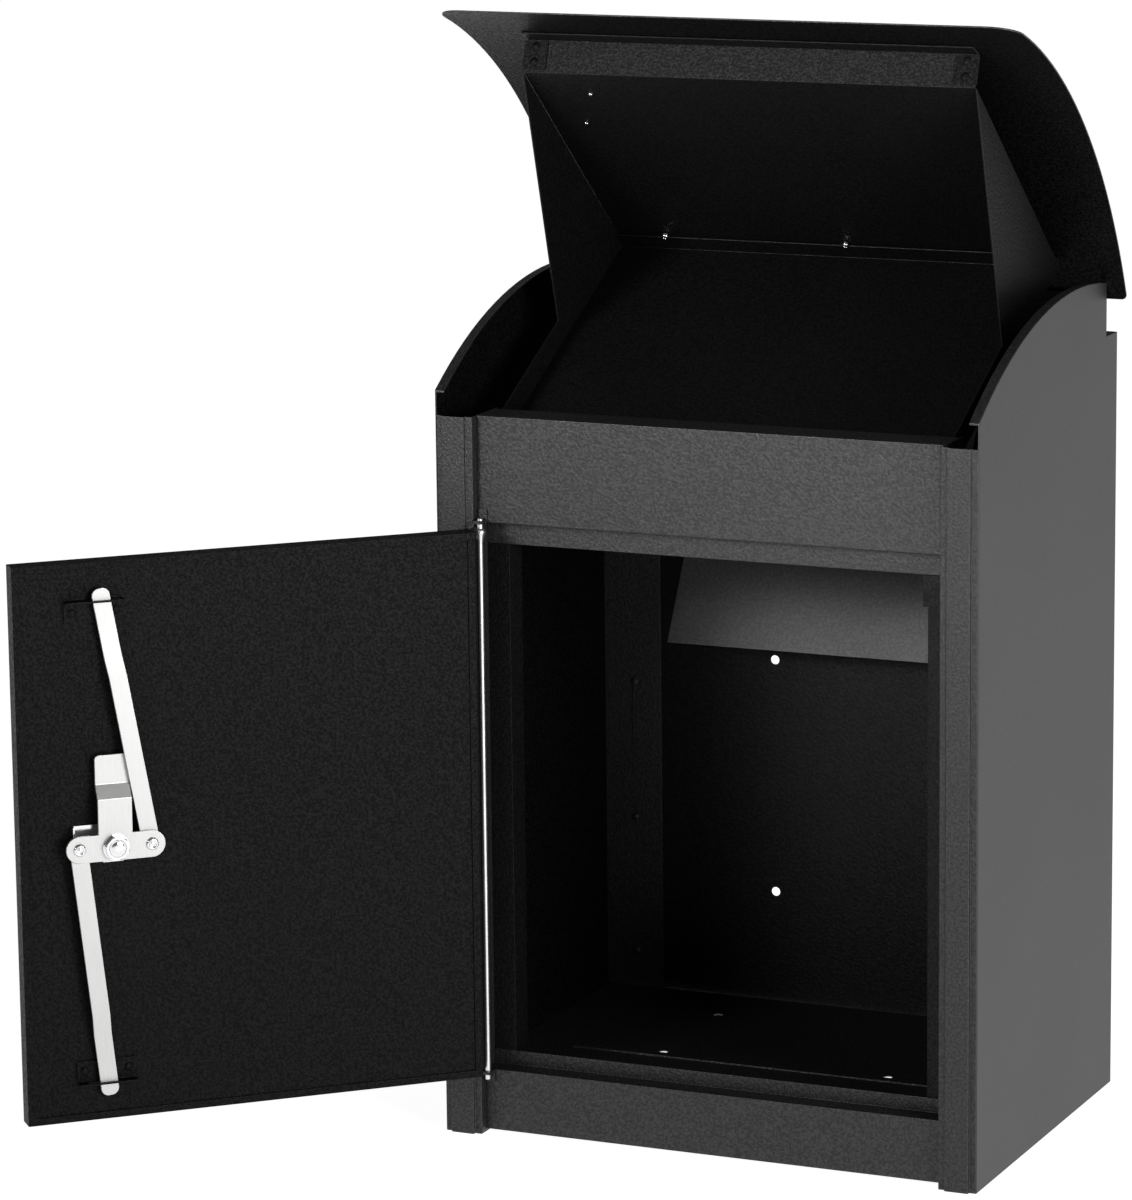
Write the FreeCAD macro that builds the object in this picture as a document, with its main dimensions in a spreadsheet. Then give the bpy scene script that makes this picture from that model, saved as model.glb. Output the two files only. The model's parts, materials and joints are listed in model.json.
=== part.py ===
import FreeCAD, Part
import math
import os
import Sketcher
from FreeCAD import Placement, Rotation, Vector

# Parcel drop box: a folded sheet-steel cabinet with a curved tilting lid that carries a V-shaped
# hopper, and a left-hung front door with a three-point cam lock.
# Working coordinates: x from the left side, y from the front of the posts, z from the floor.
# Every piece is drawn with the lid and the door closed, then turned about its own hinge line.

doc = FreeCAD.newDocument("parcel_drop_box")

# ---------------------------------------------------------------- driving dimensions (mm, degrees)
SIZES = [
    ("body_w", 385, "width over the side panels"),
    ("body_d", 281, "depth from post front to back panel"),
    ("front_h", 497, "height of the posts and the fascia"),
    ("sheet_gauge", 1.2, "sheet steel thickness"),
    ("fit_gap", 0.3, "gap between pieces that only sit beside each other"),
    ("run_gap", 0.05, "radial clearance of turning fits"),
    ("post_w", 27, "width of each front post"),
    ("post_step", 2.4, "height of the post's shoulder"),
    ("post_shoulder", 5, "width of the post's shoulder"),
    ("post_depth", 45, "depth of the post's inner return"),
    ("post_bend", 1.0, "bend radius on the post"),
    ("arc_r", 359.6, "radius of the side panel's curved top"),
    ("arc_back", 79, "curve's centre in front of the back panel"),
    ("arc_drop", 282.5, "curve's centre below the post tops"),
    ("top_back", 23.5, "rear end of the curved top in front of the back panel"),
    ("notch_rise", 36, "rear shoulder above the post tops"),
    ("rim_w", 7, "width of the rolled rim along the curve"),
    ("back_flange", 45, "width of the side panel's rear flange"),
    ("face_y", 10, "depth of the fascia, door and plinth faces behind the posts"),
    ("fascia_h", 72, "height of the fascia"),
    ("sill_top", 45, "top of the sill"),
    ("plinth_base", 2, "clearance under the plinth"),
    ("stop_gap", 1, "gap between the closed door and its stops"),
    ("header_drop", 17, "door stop hanging below the fascia"),
    ("sill_rise", 10, "door stop standing on the sill"),
    ("fascia_return", 40, "rear edge of the fascia's top flange"),
    ("plinth_return", 30, "rear edge of the plinth's bottom flange"),
    ("jamb_w", 16, "width of the side door stops"),
    ("jamb_ear", 3.5, "widening at the head of the lock-side door stop"),
    ("jamb_ear_h", 21, "height of that widening"),
    ("strike_above", 52, "strike notch above the lock's centre"),
    ("strike_below", 15, "strike notch below the lock's centre"),
    ("floor_top", 34, "top of the floor panel"),
    ("floor_drop", 22, "height of the floor panel's side flanges"),
    ("floor_hole_x", 167, "floor anchor holes across"),
    ("floor_hole_y", 100, "floor anchor holes front to back"),
    ("floor_hole_front", 127, "depth of the front floor holes"),
    ("wall_hole_x", 120, "wall anchor holes across"),
    ("wall_hole_z", 170, "wall anchor holes up and down"),
    ("wall_hole_top", 284, "height of the upper wall holes"),
    ("anchor_r", 3.25, "radius of the anchor holes"),
    ("rib_w", 8, "width of the floor ribs"),
    ("rib_rise", 1.2, "height of the floor ribs"),
    ("rib_pitch", 30, "spacing of the floor ribs"),
    ("baffle_len", 96, "slant length of the rear baffle"),
    ("baffle_tilt", 29.5, "baffle's lean from the wall"),
    ("baffle_w", 245, "width of the rear baffle"),
    ("baffle_base_z", 302, "height of the baffle's lower edge"),
    ("baffle_flange", 14, "baffle's fixing flange on the wall"),
    ("hinge_back", 23.5, "lid's hinge line in front of the back panel"),
    ("hinge_rise", 70.5, "lid's hinge line above the post tops"),
    ("hinge_knuckle", 3.8, "outer radius of the lid hinge knuckles"),
    ("hinge_pin_r", 1.9, "radius of the lid hinge pins"),
    ("hinge_leaf", 24, "length of the lid hinge leaves"),
    ("hinge_w", 60, "width of each lid hinge"),
    ("hinge_inset", 60, "distance of each lid hinge from its side"),
    ("lid_open", 55.9, "opening angle of the lid"),
    ("lid_over", 11.5, "lid's overhang at each side"),
    ("lid_gap", 1.7, "gap between the side's curve and the lid"),
    ("lid_span", 51.1, "arc of the lid"),
    ("lid_tail", 79.0, "polar angle of the lid's rear edge"),
    ("lid_corner_r", 20, "rounding of the lid's front corners"),
    ("lid_rear_r", 4, "rounding of the lid's rear corners"),
    ("hopper_inset", 31, "distance of the hopper's wings from each side"),
    ("apex_back", 15.8, "hopper's fold line in front of the hinge line"),
    ("apex_up", 0.2, "hopper's fold line above the hinge line"),
    ("chute_len", 217, "length of the hopper's back panel"),
    ("chute_fall", 16.3, "slope of the hopper's back panel with the lid closed"),
    ("tray_len", 223, "length of the hopper's floor"),
    ("tray_lean", 7.2, "lean of the hopper's floor with the lid closed"),
    ("lip_h", 23.6, "height of the hopper's front lip"),
    ("lip_turn", 110.3, "angle of the lip to the back panel"),
    ("lip_flange", 12, "fixing flange of the lip under the lid"),
    ("lip_flange_turn", 194.1, "direction of the fixing flange"),
    ("lip_bracket", 17, "width of the lip's end brackets"),
    ("bracket_margin", 2, "brackets' distance from the lip's two folds"),
    ("fold_gap", 1.5, "clearance of the hopper's sheets at the fold line"),
    ("tray_rise", 16.5, "upstand at the rear of the hopper's floor"),
    ("wing_foot", 104, "distance of the wing's foot from the tray's front"),
    ("wing_low", 18.5, "height of the wing's low flange"),
    ("rivet_r", 1.6, "radius of rivet shanks"),
    ("rivet_head_r", 3.0, "radius of rivet heads"),
    ("rivet_head_h", 1.1, "height of rivet heads"),
    ("pivot_x", 31, "door's hinge line from the left side"),
    ("pivot_y", 4.6, "depth of the door's hinge line"),
    ("pivot_r", 2.0, "radius of the door's hinge rod"),
    ("pivot_ball_r", 3.6, "radius of the ball on the hinge rod"),
    ("door_open", 136.6, "opening angle of the door"),
    ("door_gap", 2, "gap around the door"),
    ("door_free_gap", 1.0, "gap beside the door's free edge"),
    ("door_left", 41, "door's hinge edge from the left side"),
    ("door_thick", 14, "thickness of the door"),
    ("door_lip", 5, "width of the door pan's inturned lip"),
    ("curl_wall", 1.2, "wall of the door's hinge curl"),
    ("leaf_reach", 9.5, "depth at which the curl's leaf meets the door, behind the hinge line"),
    ("leaf_tab", 6, "height of the leaf's tab on the door's side"),
    ("ball_drop", 0.7, "top of the rod's ball below the door's top edge"),
    ("rod_over", 1.5, "hinge rod standing out of its upper lug"),
    ("rod_under", 6, "hinge rod reaching below the sill"),
    ("lug_nose", 0.8, "front of the pivot lugs behind the posts"),
    ("lug_fix", 9, "height of the pivot lugs' fixing faces"),
    ("lug_bite", 1.2, "thickness of the pivot lugs' fixing faces"),
    ("lug_t", 2.0, "thickness of the door's pivot lugs"),
    ("lock_edge", 62, "lock centre from the door's free edge"),
    ("lock_z", 234, "height of the lock"),
    ("barrel_r", 9.5, "radius of the lock barrel"),
    ("barrel_flange_r", 13, "radius of the barrel's outer flange"),
    ("barrel_flange_t", 2.5, "thickness of the barrel's outer flange"),
    ("barrel_nut_r", 13.5, "radius of the barrel's nut across corners"),
    ("barrel_nut_h", 3, "height of the barrel's nut"),
    ("plug_r", 6, "radius of the lock's key plug"),
    ("plug_nose", 3, "key plug standing out of the door's face"),
    ("plug_tail", 5, "key plug standing out of the cam"),
    ("keyway_w", 1.6, "width of the keyway"),
    ("keyway_h", 7, "height of the keyway"),
    ("stop_arm_len", 19, "length of the cam stop"),
    ("stop_arm_w", 9, "height of the cam stop"),
    ("stop_reach", 26, "distance of the cam stop's tab from the lock"),
    ("stop_tab_len", 6, "reach of the cam stop's tab"),
    ("stop_rise", 5, "lower edge of the cam stop above the lock's centre"),
    ("cam_gauge", 2.0, "thickness of the cam and the rods"),
    ("cam_pin", 24.5, "distance of the rod pins from the cam's centre"),
    ("cam_end_r", 9, "radius of the cam's ends"),
    ("cam_lift", 8.4, "height of the cam above the door stops' plane"),
    ("tongue_w", 23, "width of the cam's tongue"),
    ("tongue_len", 61, "reach of the cam's tongue"),
    ("tongue_bend", 32, "start of the tongue's joggle"),
    ("tongue_bend_len", 9, "length of the tongue's joggle"),
    ("rod_plane", 1.8, "depth of the rods behind the door stops"),
    ("rod_w", 12, "width of the lock rods"),
    ("rod_joggle", 114, "start of the rods' joggle"),
    ("rod_joggle_len", 14, "length of the rods' joggle"),
    ("upper_rod_len", 174.5, "reach of the upper rod"),
    ("upper_rod_lean", 9.67, "lean of the upper rod, unlocked"),
    ("lower_rod_len", 170.5, "reach of the lower rod"),
    ("lower_rod_lean", 6.0, "lean of the lower rod, unlocked"),
    ("rod_pin_r", 3.0, "radius of the rod pins"),
    ("cam_nut_r", 8.5, "radius of the cam's nut across corners"),
    ("cam_nut_h", 4, "height of the cam's nut"),
    ("washer_r", 9, "radius of the cam's washer"),
    ("washer_t", 1, "thickness of the cam's washer"),
    ("pin_head_r", 4.2, "radius of the rod pins' heads"),
    ("pin_head_h", 1.6, "height of the rod pins' heads"),
    ("pin_foot_t", 0.8, "thickness of the rod pins' feet"),
    ("guide_from_top", 26, "upper guide below the door's top edge"),
    ("guide_from_base", 27, "lower guide above the door's bottom edge"),
    ("guide_w", 40, "width of the rod guides"),
    ("guide_shift", 8, "guides' offset from the lock towards the free edge"),
    ("guide_slot_w", 20.4, "width of the slot in the rod guides"),
    ("upper_slot_shift", 0, "upper guide slot's offset from the lock"),
    ("lower_slot_shift", 10.8, "lower guide slot's offset from the lock"),
    ("guide_foot", 14, "height of the guides' feet"),
]


class Size:
    """A number that also knows the spreadsheet expression it came from."""

    def __init__(self, text, number):
        self.text = text
        self.number = number

    @staticmethod
    def of(value):
        return value if isinstance(value, Size) else Size(repr(float(value)), float(value))

    def __add__(self, other):
        other = Size.of(other)
        return Size("(%s + %s)" % (self.text, other.text), self.number + other.number)

    def __sub__(self, other):
        other = Size.of(other)
        return Size("(%s - %s)" % (self.text, other.text), self.number - other.number)

    def __mul__(self, other):
        other = Size.of(other)
        return Size("(%s * %s)" % (self.text, other.text), self.number * other.number)

    def __truediv__(self, other):
        other = Size.of(other)
        return Size("(%s / %s)" % (self.text, other.text), self.number / other.number)

    def __radd__(self, other):
        return Size.of(other) + self

    def __rsub__(self, other):
        return Size.of(other) - self

    def __rmul__(self, other):
        return Size.of(other) * self

    def __float__(self):
        return self.number


class Dimensions:
    """Each driving dimension under its own name."""


sheet = doc.addObject("Spreadsheet::Sheet", "sizes")
d = Dimensions()
for row, (alias, value, note) in enumerate(SIZES, 1):
    sheet.set("A%d" % row, note)
    sheet.set("B%d" % row, str(value))
    sheet.setAlias("B%d" % row, alias)
    setattr(d, alias, Size("sizes." + alias, float(value)))
doc.recompute()

NODES = []
g = d.sheet_gauge
arc_y = d.body_d - d.arc_back
arc_z = d.front_h - d.arc_drop
side_top_y = d.body_d - d.top_back
notch_z = d.front_h + d.notch_rise
door_top = d.front_h - d.fascia_h
hinge_y = d.body_d - d.hinge_back
hinge_z = d.front_h + d.hinge_rise
stop_y = d.face_y + d.door_thick + d.stop_gap


# ---------------------------------------------------------------- drawing helpers
def node(obj, label, place=None):
    """Name a finished sub-part and put it in its place."""
    obj.Label = label
    NODES.append((obj, label, place or Placement()))
    return obj


def new_body(name):
    return doc.addObject("PartDesign::Body", name + "_body")


def new_sketch(body, role, offset=0):
    """An empty sketch on one of the body's own planes, moved along that plane's normal."""
    sketch = body.newObject("Sketcher::SketchObject", body.Name + "_sketch")
    plane = [f for f in body.Origin.OriginFeatures if f.Role == role][0]
    sketch.AttachmentSupport = (plane, "")
    sketch.MapMode = "FlatFace"
    sketch.setExpression("AttachmentOffset.Base.z", Size.of(offset).text)
    return sketch


def pin_point(sketch, index, end, x=None, y=None):
    """Hold one point of the sketch at sheet-driven coordinates."""
    for kind, value in (("DistanceX", x), ("DistanceY", y)):
        if value is not None:
            value = Size.of(value)
            c = sketch.addConstraint(Sketcher.Constraint(kind, -1, 1, index, end, value.number))
            sketch.setExpression("Constraints[%d]" % c, value.text)


def polygon(sketch, corners):
    """A closed straight-sided outline."""
    points = [(Size.of(x), Size.of(y)) for x, y in corners]
    count = len(points)
    first = sketch.GeometryCount
    for i, (x, y) in enumerate(points):
        x2, y2 = points[(i + 1) % count]
        line = Part.LineSegment(Vector(x.number, y.number, 0), Vector(x2.number, y2.number, 0))
        sketch.addGeometry(line)
    for i in range(count):
        link = ("Coincident", first + i, 2, first + (i + 1) % count, 1)
        sketch.addConstraint(Sketcher.Constraint(*link))
    for i, (x, y) in enumerate(points):
        pin_point(sketch, first + i, 1, x, y)
    return sketch


def rectangle(sketch, x0, y0, x1, y1):
    return polygon(sketch, [(x0, y0), (x1, y0), (x1, y1), (x0, y1)])


def circles(sketch, centres, radius):
    """Equal circles, such as a row of holes."""
    radius = Size.of(radius)
    for x, y in centres:
        x, y = Size.of(x), Size.of(y)
        spot = Vector(x.number, y.number, 0)
        i = sketch.addGeometry(Part.Circle(spot, Vector(0, 0, 1), radius.number))
        pin_point(sketch, i, 3, x, y)
        c = sketch.addConstraint(Sketcher.Constraint("Radius", i, radius.number))
        sketch.setExpression("Constraints[%d]" % c, radius.text)
    return sketch


def folded(path, thickness, side):
    """The section of a folded sheet: a path of square turns, thickened to one side (+1 left)."""
    path = [(Size.of(x), Size.of(y)) for x, y in path]
    normals = []
    for (x1, y1), (x2, y2) in zip(path, path[1:]):
        dx, dy = x2.number - x1.number, y2.number - y1.number
        length = math.hypot(dx, dy)
        normals.append((-side * round(dy / length), side * round(dx / length)))
    inner = []
    for i, (x, y) in enumerate(path):
        near = set(normals[max(i - 1, 0):i + 1])
        nx = sum(n[0] for n in near)
        ny = sum(n[1] for n in near)
        inner.append((x + nx * thickness, y + ny * thickness))
    return path + inner[::-1]


def pad(body, sketch, length, both=False):
    feature = body.newObject("PartDesign::Pad", body.Name + "_pad")
    feature.Profile = sketch
    feature.Midplane = both
    feature.setExpression("Length", Size.of(length).text)
    return feature


def cut_through(body, sketch):
    """Cut the sketch through the whole body, both ways."""
    feature = body.newObject("PartDesign::Pocket", body.Name + "_cut")
    feature.Profile = sketch
    feature.Type = "ThroughAll"
    feature.Midplane = True
    return feature


def round_edges(body, radius, chosen):
    """Fillet the edges of the body whose two ends satisfy the test."""
    doc.recompute()
    base = body.Tip
    names = []
    for i, edge in enumerate(base.Shape.Edges, 1):
        if len(edge.Vertexes) == 2 and chosen(edge.Vertexes[0].Point, edge.Vertexes[1].Point):
            names.append("Edge%d" % i)
    feature = body.newObject("PartDesign::Fillet", body.Name + "_fillet")
    feature.Base = (base, names)
    feature.setExpression("Radius", Size.of(radius).text)
    return feature


def near(a, b):
    return abs(float(a) - float(b)) < 0.01


def block(name, size, corner=()):
    """A Part box whose sides, and corner if one is given, are bound to the sheet."""
    box = doc.addObject("Part::Box", name)
    for prop, value in zip(("Length", "Width", "Height"), size):
        box.setExpression(prop, Size.of(value).text)
    for axis, value in zip("xyz", corner):
        box.setExpression("Placement.Base." + axis, Size.of(value).text)
    return box


def round_bar(name, radius, height, base=(0, 0, 0), axis=(0, 0, 1)):
    """A Part cylinder from its base point along an axis."""
    bar = doc.addObject("Part::Cylinder", name)
    bar.setExpression("Radius", Size.of(radius).text)
    bar.setExpression("Height", Size.of(height).text)
    bar.Placement = Placement(Vector(*map(float, base)), Rotation(Vector(0, 0, 1), Vector(*axis)))
    return bar


def joined(name, shapes):
    both = doc.addObject("Part::MultiFuse", name)
    both.Shapes = shapes
    return both


def minus(name, base, tool):
    rest = doc.addObject("Part::Cut", name)
    rest.Base = base
    rest.Tool = tool
    return rest


def group(name, shapes):
    """Identical separate solids kept in one node."""
    bundle = doc.addObject("Part::Compound", name)
    bundle.Links = shapes
    return bundle


def rivet(name, at, axis, grip, head_r=d.rivet_head_r, head_h=d.rivet_head_h, shank_r=d.rivet_r):
    """A domed rivet: its head stands on the surface at 'at', its shank runs back along -axis."""
    dome = doc.addObject("Part::Ellipsoid", name + "_head")
    dome.setExpression("Radius1", Size.of(head_h).text)
    dome.setExpression("Radius2", Size.of(head_r).text)
    dome.Angle1 = 0
    dome.Angle2 = 90
    dome.Angle3 = 360
    shank = doc.addObject("Part::Cylinder", name + "_shank")
    shank.setExpression("Radius", Size.of(shank_r).text)
    shank.setExpression("Height", (Size.of(grip)).text)
    shank.setExpression("Placement.Base.z", (0 - Size.of(grip)).text)
    whole = joined(name, [dome, shank])
    whole.Placement = Placement(Vector(*map(float, at)), Rotation(Vector(0, 0, 1), Vector(*axis)))
    return whole


# ---------------------------------------------------------------- places
CENTRE = Placement(Vector(-float(d.body_w) / 2, -float(d.body_d) / 2, 0), Rotation())
HINGE = Vector(0, float(hinge_y), float(hinge_z))
LID = CENTRE * Placement(Vector(), Rotation(Vector(1, 0, 0), -float(d.lid_open)), HINGE)
PIVOT = Vector(float(d.pivot_x), float(d.pivot_y), 0)
DOOR = CENTRE * Placement(Vector(), Rotation(Vector(0, 0, 1), -float(d.door_open)), PIVOT)


def spin_x(angle, at):
    return Placement(Vector(*map(float, at)), Rotation(Vector(1, 0, 0), float(angle)))


# ---------------------------------------------------------------- cabinet
BACK_RIVETS = [60, 160, 260, 360, 460]
BACK_RIVET_X = 24


def side_panel(name, mirrored):
    """Side panel, roll-formed front post, rolled top rim and rear flange in one folded sheet."""
    def across(distance):
        return d.body_w - distance if mirrored else Size.of(distance)

    def x_offset(distance, width):
        return across(distance + width) if mirrored else across(distance)

    body = new_body(name)
    plate = new_sketch(body, "YZ_Plane", x_offset(0, g))
    centre = Vector(float(arc_y), float(arc_z), 0)

    def arc_height(y, radius):
        return math.sqrt(float(radius) ** 2 - (float(y) - float(arc_y)) ** 2) + float(arc_z)

    def arc(sketch, radius, y0, y1):
        """A clockwise-drawn piece of the crown from y1 back to y0."""
        a0 = math.atan2(arc_height(y1, radius) - centre.y, float(y1) - centre.x)
        a1 = math.atan2(arc_height(y0, radius) - centre.y, float(y0) - centre.x)
        circle = Part.Circle(centre, Vector(0, 0, 1), float(radius))
        i = sketch.addGeometry(Part.ArcOfCircle(circle, a0, a1))
        pin_point(sketch, i, 3, arc_y, arc_z)
        c = sketch.addConstraint(Sketcher.Constraint("Radius", i, float(radius)))
        sketch.setExpression("Constraints[%d]" % c, Size.of(radius).text)
        pin_point(sketch, i, 1, x=y1)
        pin_point(sketch, i, 2, x=y0)
        return i

    def line(sketch, start, end):
        return sketch.addGeometry(Part.LineSegment(Vector(*map(float, start)), Vector(*map(float, end))))

    def weld(sketch, a, end_a, b, end_b):
        sketch.addConstraint(Sketcher.Constraint("Coincident", a, end_a, b, end_b))

    y0, y1 = d.post_step, side_top_y
    crown = arc(plate, d.arc_r, y0, y1)
    corners = [(y0, arc_height(y0, d.arc_r), 0), (y0, 0, 0), (d.body_d, 0, 0),
               (d.body_d, notch_z, 0), (y1, notch_z, 0), (y1, arc_height(y1, d.arc_r), 0)]
    lines = [line(plate, a, b) for a, b in zip(corners, corners[1:])]
    weld(plate, crown, 2, lines[0], 1)
    for a, b in zip(lines, lines[1:]):
        weld(plate, a, 2, b, 1)
    weld(plate, lines[-1], 2, crown, 1)
    pin_point(plate, lines[0], 2, y0, 0)
    pin_point(plate, lines[1], 2, d.body_d, 0)
    pin_point(plate, lines[2], 2, d.body_d, notch_z)
    pin_point(plate, lines[3], 2, y1, notch_z)
    pad(body, plate, g)

    rim = new_sketch(body, "YZ_Plane", x_offset(0, d.rim_w))
    outer = arc(rim, d.arc_r, y0, y1)
    inner = arc(rim, d.arc_r - g, y0, y1)
    front = line(rim, (y0, arc_height(y0, d.arc_r), 0), (y0, arc_height(y0, d.arc_r - g), 0))
    rear = line(rim, (y1, arc_height(y1, d.arc_r - g), 0), (y1, arc_height(y1, d.arc_r), 0))
    weld(rim, outer, 2, front, 1)
    weld(rim, front, 2, inner, 2)
    weld(rim, inner, 1, rear, 1)
    weld(rim, rear, 2, outer, 1)
    pad(body, rim, d.rim_w)

    step, edge, width = d.post_step, d.post_shoulder, d.post_w
    post_path = [(across(0), d.post_depth), (across(0), step), (across(edge), step), (across(edge), 0),
                 (across(width - edge), 0), (across(width - edge), step), (across(width), step),
                 (across(width), d.post_depth)]
    post = new_sketch(body, "XY_Plane")
    polygon(post, folded(post_path, g, -1 if mirrored else 1))
    pad(body, post, d.front_h)

    flange = new_sketch(body, "XY_Plane")
    rectangle(flange, across(0), d.body_d - 2 * g, across(d.back_flange), d.body_d - g)
    pad(body, flange, notch_z - g - d.fit_gap)

    holes = new_sketch(body, "XZ_Plane", 0 - (d.body_d - 1.5 * g))
    circles(holes, [(across(BACK_RIVET_X), z) for z in BACK_RIVETS], d.rivet_r + d.run_gap)
    pocket = body.newObject("PartDesign::Pocket", body.Name + "_holes")
    pocket.Profile = holes
    pocket.Midplane = True
    pocket.setExpression("Length", (4 * g).text)

    shoulders = [float(across(edge)), float(across(width - edge))]
    corners_x = [float(across(0)), float(across(width))]

    def on_post(a, b):
        upright = near(a.x, b.x) and near(a.y, b.y)
        on_flat = near(a.y, 0) and any(near(a.x, x) for x in shoulders)
        on_step = near(a.y, step) and any(near(a.x, x) for x in corners_x)
        return upright and abs(a.z - b.z) > 100 and (on_flat or on_step)

    round_edges(body, d.post_bend, on_post)
    return node(body, name, CENTRE)


side_panel("side_panel_left", False)
side_panel("side_panel_right", True)

inner_left = g + d.fit_gap
inner_right = d.body_w - inner_left
web_front = hinge_y + d.hinge_knuckle


def across_body(name, path, side, x0, x1):
    """A folded sheet whose section runs front to back and which spans the cabinet."""
    body = new_body(name)
    section = new_sketch(body, "YZ_Plane", x0)
    polygon(section, folded(path, g, side))
    pad(body, section, x1 - x0)
    return body


WEB_TOP = hinge_z - 5.5
back_path = [(d.body_d, d.plinth_base), (d.body_d, notch_z), (web_front + g, notch_z), (web_front + g, WEB_TOP)]
back = across_body("back_panel", back_path, 1, inner_left, inner_right)
wall_centre_z = d.wall_hole_top - d.wall_hole_z / 2
wall_holes = [(d.body_w / 2 + sx * d.wall_hole_x / 2, wall_centre_z + sz * d.wall_hole_z / 2)
              for sx in (-1, 1) for sz in (-1, 1)]
back_rivet_spots = [(x, z) for z in BACK_RIVETS for x in (Size.of(BACK_RIVET_X), d.body_w - BACK_RIVET_X)]
cut_through(back, circles(new_sketch(back, "XZ_Plane"), wall_holes, d.anchor_r))
cut_through(back, circles(new_sketch(back, "XZ_Plane"), back_rivet_spots, d.rivet_r + d.run_gap))
node(back, "back_panel", CENTRE)

back_rivets = [rivet("back_rivet_%d" % i, (x, d.body_d - 2 * g, z), (0, -1, 0), 2 * g)
               for i, (x, z) in enumerate(back_rivet_spots)]
node(group("back_rivets_group", back_rivets), "back_rivets", CENTRE)

floor = new_body("floor_panel")
floor_path = [(inner_left, d.floor_top - d.floor_drop), (inner_left, d.floor_top),
              (inner_right, d.floor_top), (inner_right, d.floor_top - d.floor_drop)]
floor_front = d.post_depth + d.fit_gap
floor_rear = d.body_d - 2 * g - d.fit_gap
floor_section = new_sketch(floor, "XZ_Plane", 0 - floor_rear)
polygon(floor_section, folded(floor_path, g, -1))
pad(floor, floor_section, floor_rear - floor_front)
apron = new_sketch(floor, "XY_Plane", d.floor_top - g)
rectangle(apron, d.post_w + g + d.fit_gap, stop_y + g + d.fit_gap,
          d.body_w - d.post_w - g - d.fit_gap, floor_front + 1)
pad(floor, apron, g)
ribs = new_sketch(floor, "XY_Plane", d.floor_top - g)
for i in range(3):
    rib_y = floor_front + 8 + i * d.rib_pitch
    rectangle(ribs, d.back_flange, rib_y, d.body_w - d.back_flange, rib_y + d.rib_w)
pad(floor, ribs, g + d.rib_rise)
floor_holes = [(d.body_w / 2 + sx * d.floor_hole_x / 2, d.floor_hole_front + row * d.floor_hole_y)
               for sx in (-1, 1) for row in (0, 1)]
cut_through(floor, circles(new_sketch(floor, "XY_Plane"), floor_holes, d.anchor_r))
node(floor, "floor_panel", CENTRE)

front_left = d.post_w
front_right = d.body_w - d.post_w
fascia_path = [(d.fascia_return, d.front_h), (d.face_y, d.front_h), (d.face_y, door_top),
               (stop_y, door_top), (stop_y, door_top - d.header_drop)]
node(across_body("fascia", fascia_path, 1, front_left, front_right), "fascia", CENTRE)
plinth_path = [(d.plinth_return, d.plinth_base), (d.face_y, d.plinth_base), (d.face_y, d.sill_top),
               (stop_y, d.sill_top), (stop_y, d.sill_top + d.sill_rise)]
node(across_body("plinth", plinth_path, -1, front_left, front_right), "plinth", CENTRE)


def jamb(name, mirrored):
    """The side door stop: a channel against the post's inner return."""
    def across(distance):
        return d.body_w - distance if mirrored else Size.of(distance)

    body = new_body(name)
    base = d.sill_top + d.sill_rise + d.fit_gap
    sketch = new_sketch(body, "XY_Plane", base)
    path = [(across(d.post_w), d.post_depth), (across(d.post_w), stop_y),
            (across(d.post_w + d.jamb_w), stop_y), (across(d.post_w + d.jamb_w), d.post_depth)]
    polygon(sketch, folded(path, g, -1 if mirrored else 1))
    pad(body, sketch, door_top - d.header_drop - d.fit_gap - base)
    if mirrored:
        ear_top = door_top - d.header_drop - d.fit_gap
        ear = new_sketch(body, "XZ_Plane", 0 - stop_y - g)
        rectangle(ear, across(d.post_w + d.jamb_w + d.jamb_ear), ear_top - d.jamb_ear_h,
                  across(d.post_w + g), ear_top)
        pad(body, ear, g)
        strike = new_sketch(body, "YZ_Plane", across(d.post_w + d.jamb_w))
        rectangle(strike, stop_y + g + d.fit_gap, d.lock_z - d.strike_below,
                  d.post_depth + 1, d.lock_z + d.strike_above)
        notch = body.newObject("PartDesign::Pocket", name + "_strike")
        notch.Profile = strike
        notch.Midplane = True
        notch.setExpression("Length", (g * 4).text)
    return node(body, name, CENTRE)


jamb("door_stop_left", False)
jamb("door_stop_right", True)

baffle_x0 = (d.body_w - d.baffle_w) / 2
baffle_tilt = float(d.baffle_tilt)
wall_y = d.body_d - g
baffle_plate = block("baffle_plate", (d.baffle_w, g, d.baffle_len))
baffle_top_z = float(d.baffle_base_z) + float(d.baffle_len) * math.cos(math.radians(baffle_tilt))
baffle_base_y = float(wall_y) - float(d.baffle_len) * math.sin(math.radians(baffle_tilt)) - float(g)
baffle_plate.Placement = spin_x(-baffle_tilt, (baffle_x0, baffle_base_y, d.baffle_base_z))
baffle_flange = block("baffle_flange", (d.baffle_w, g, d.baffle_flange),
                      (baffle_x0, wall_y - g, baffle_top_z - 2.5))
node(joined("baffle_join", [baffle_plate, baffle_flange]), "rear_baffle", CENTRE)

# ---------------------------------------------------------------- lid hinge
hinge_starts = [d.hinge_inset, d.body_w - d.hinge_inset - d.hinge_w]
THIRD = d.hinge_w / 4


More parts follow.
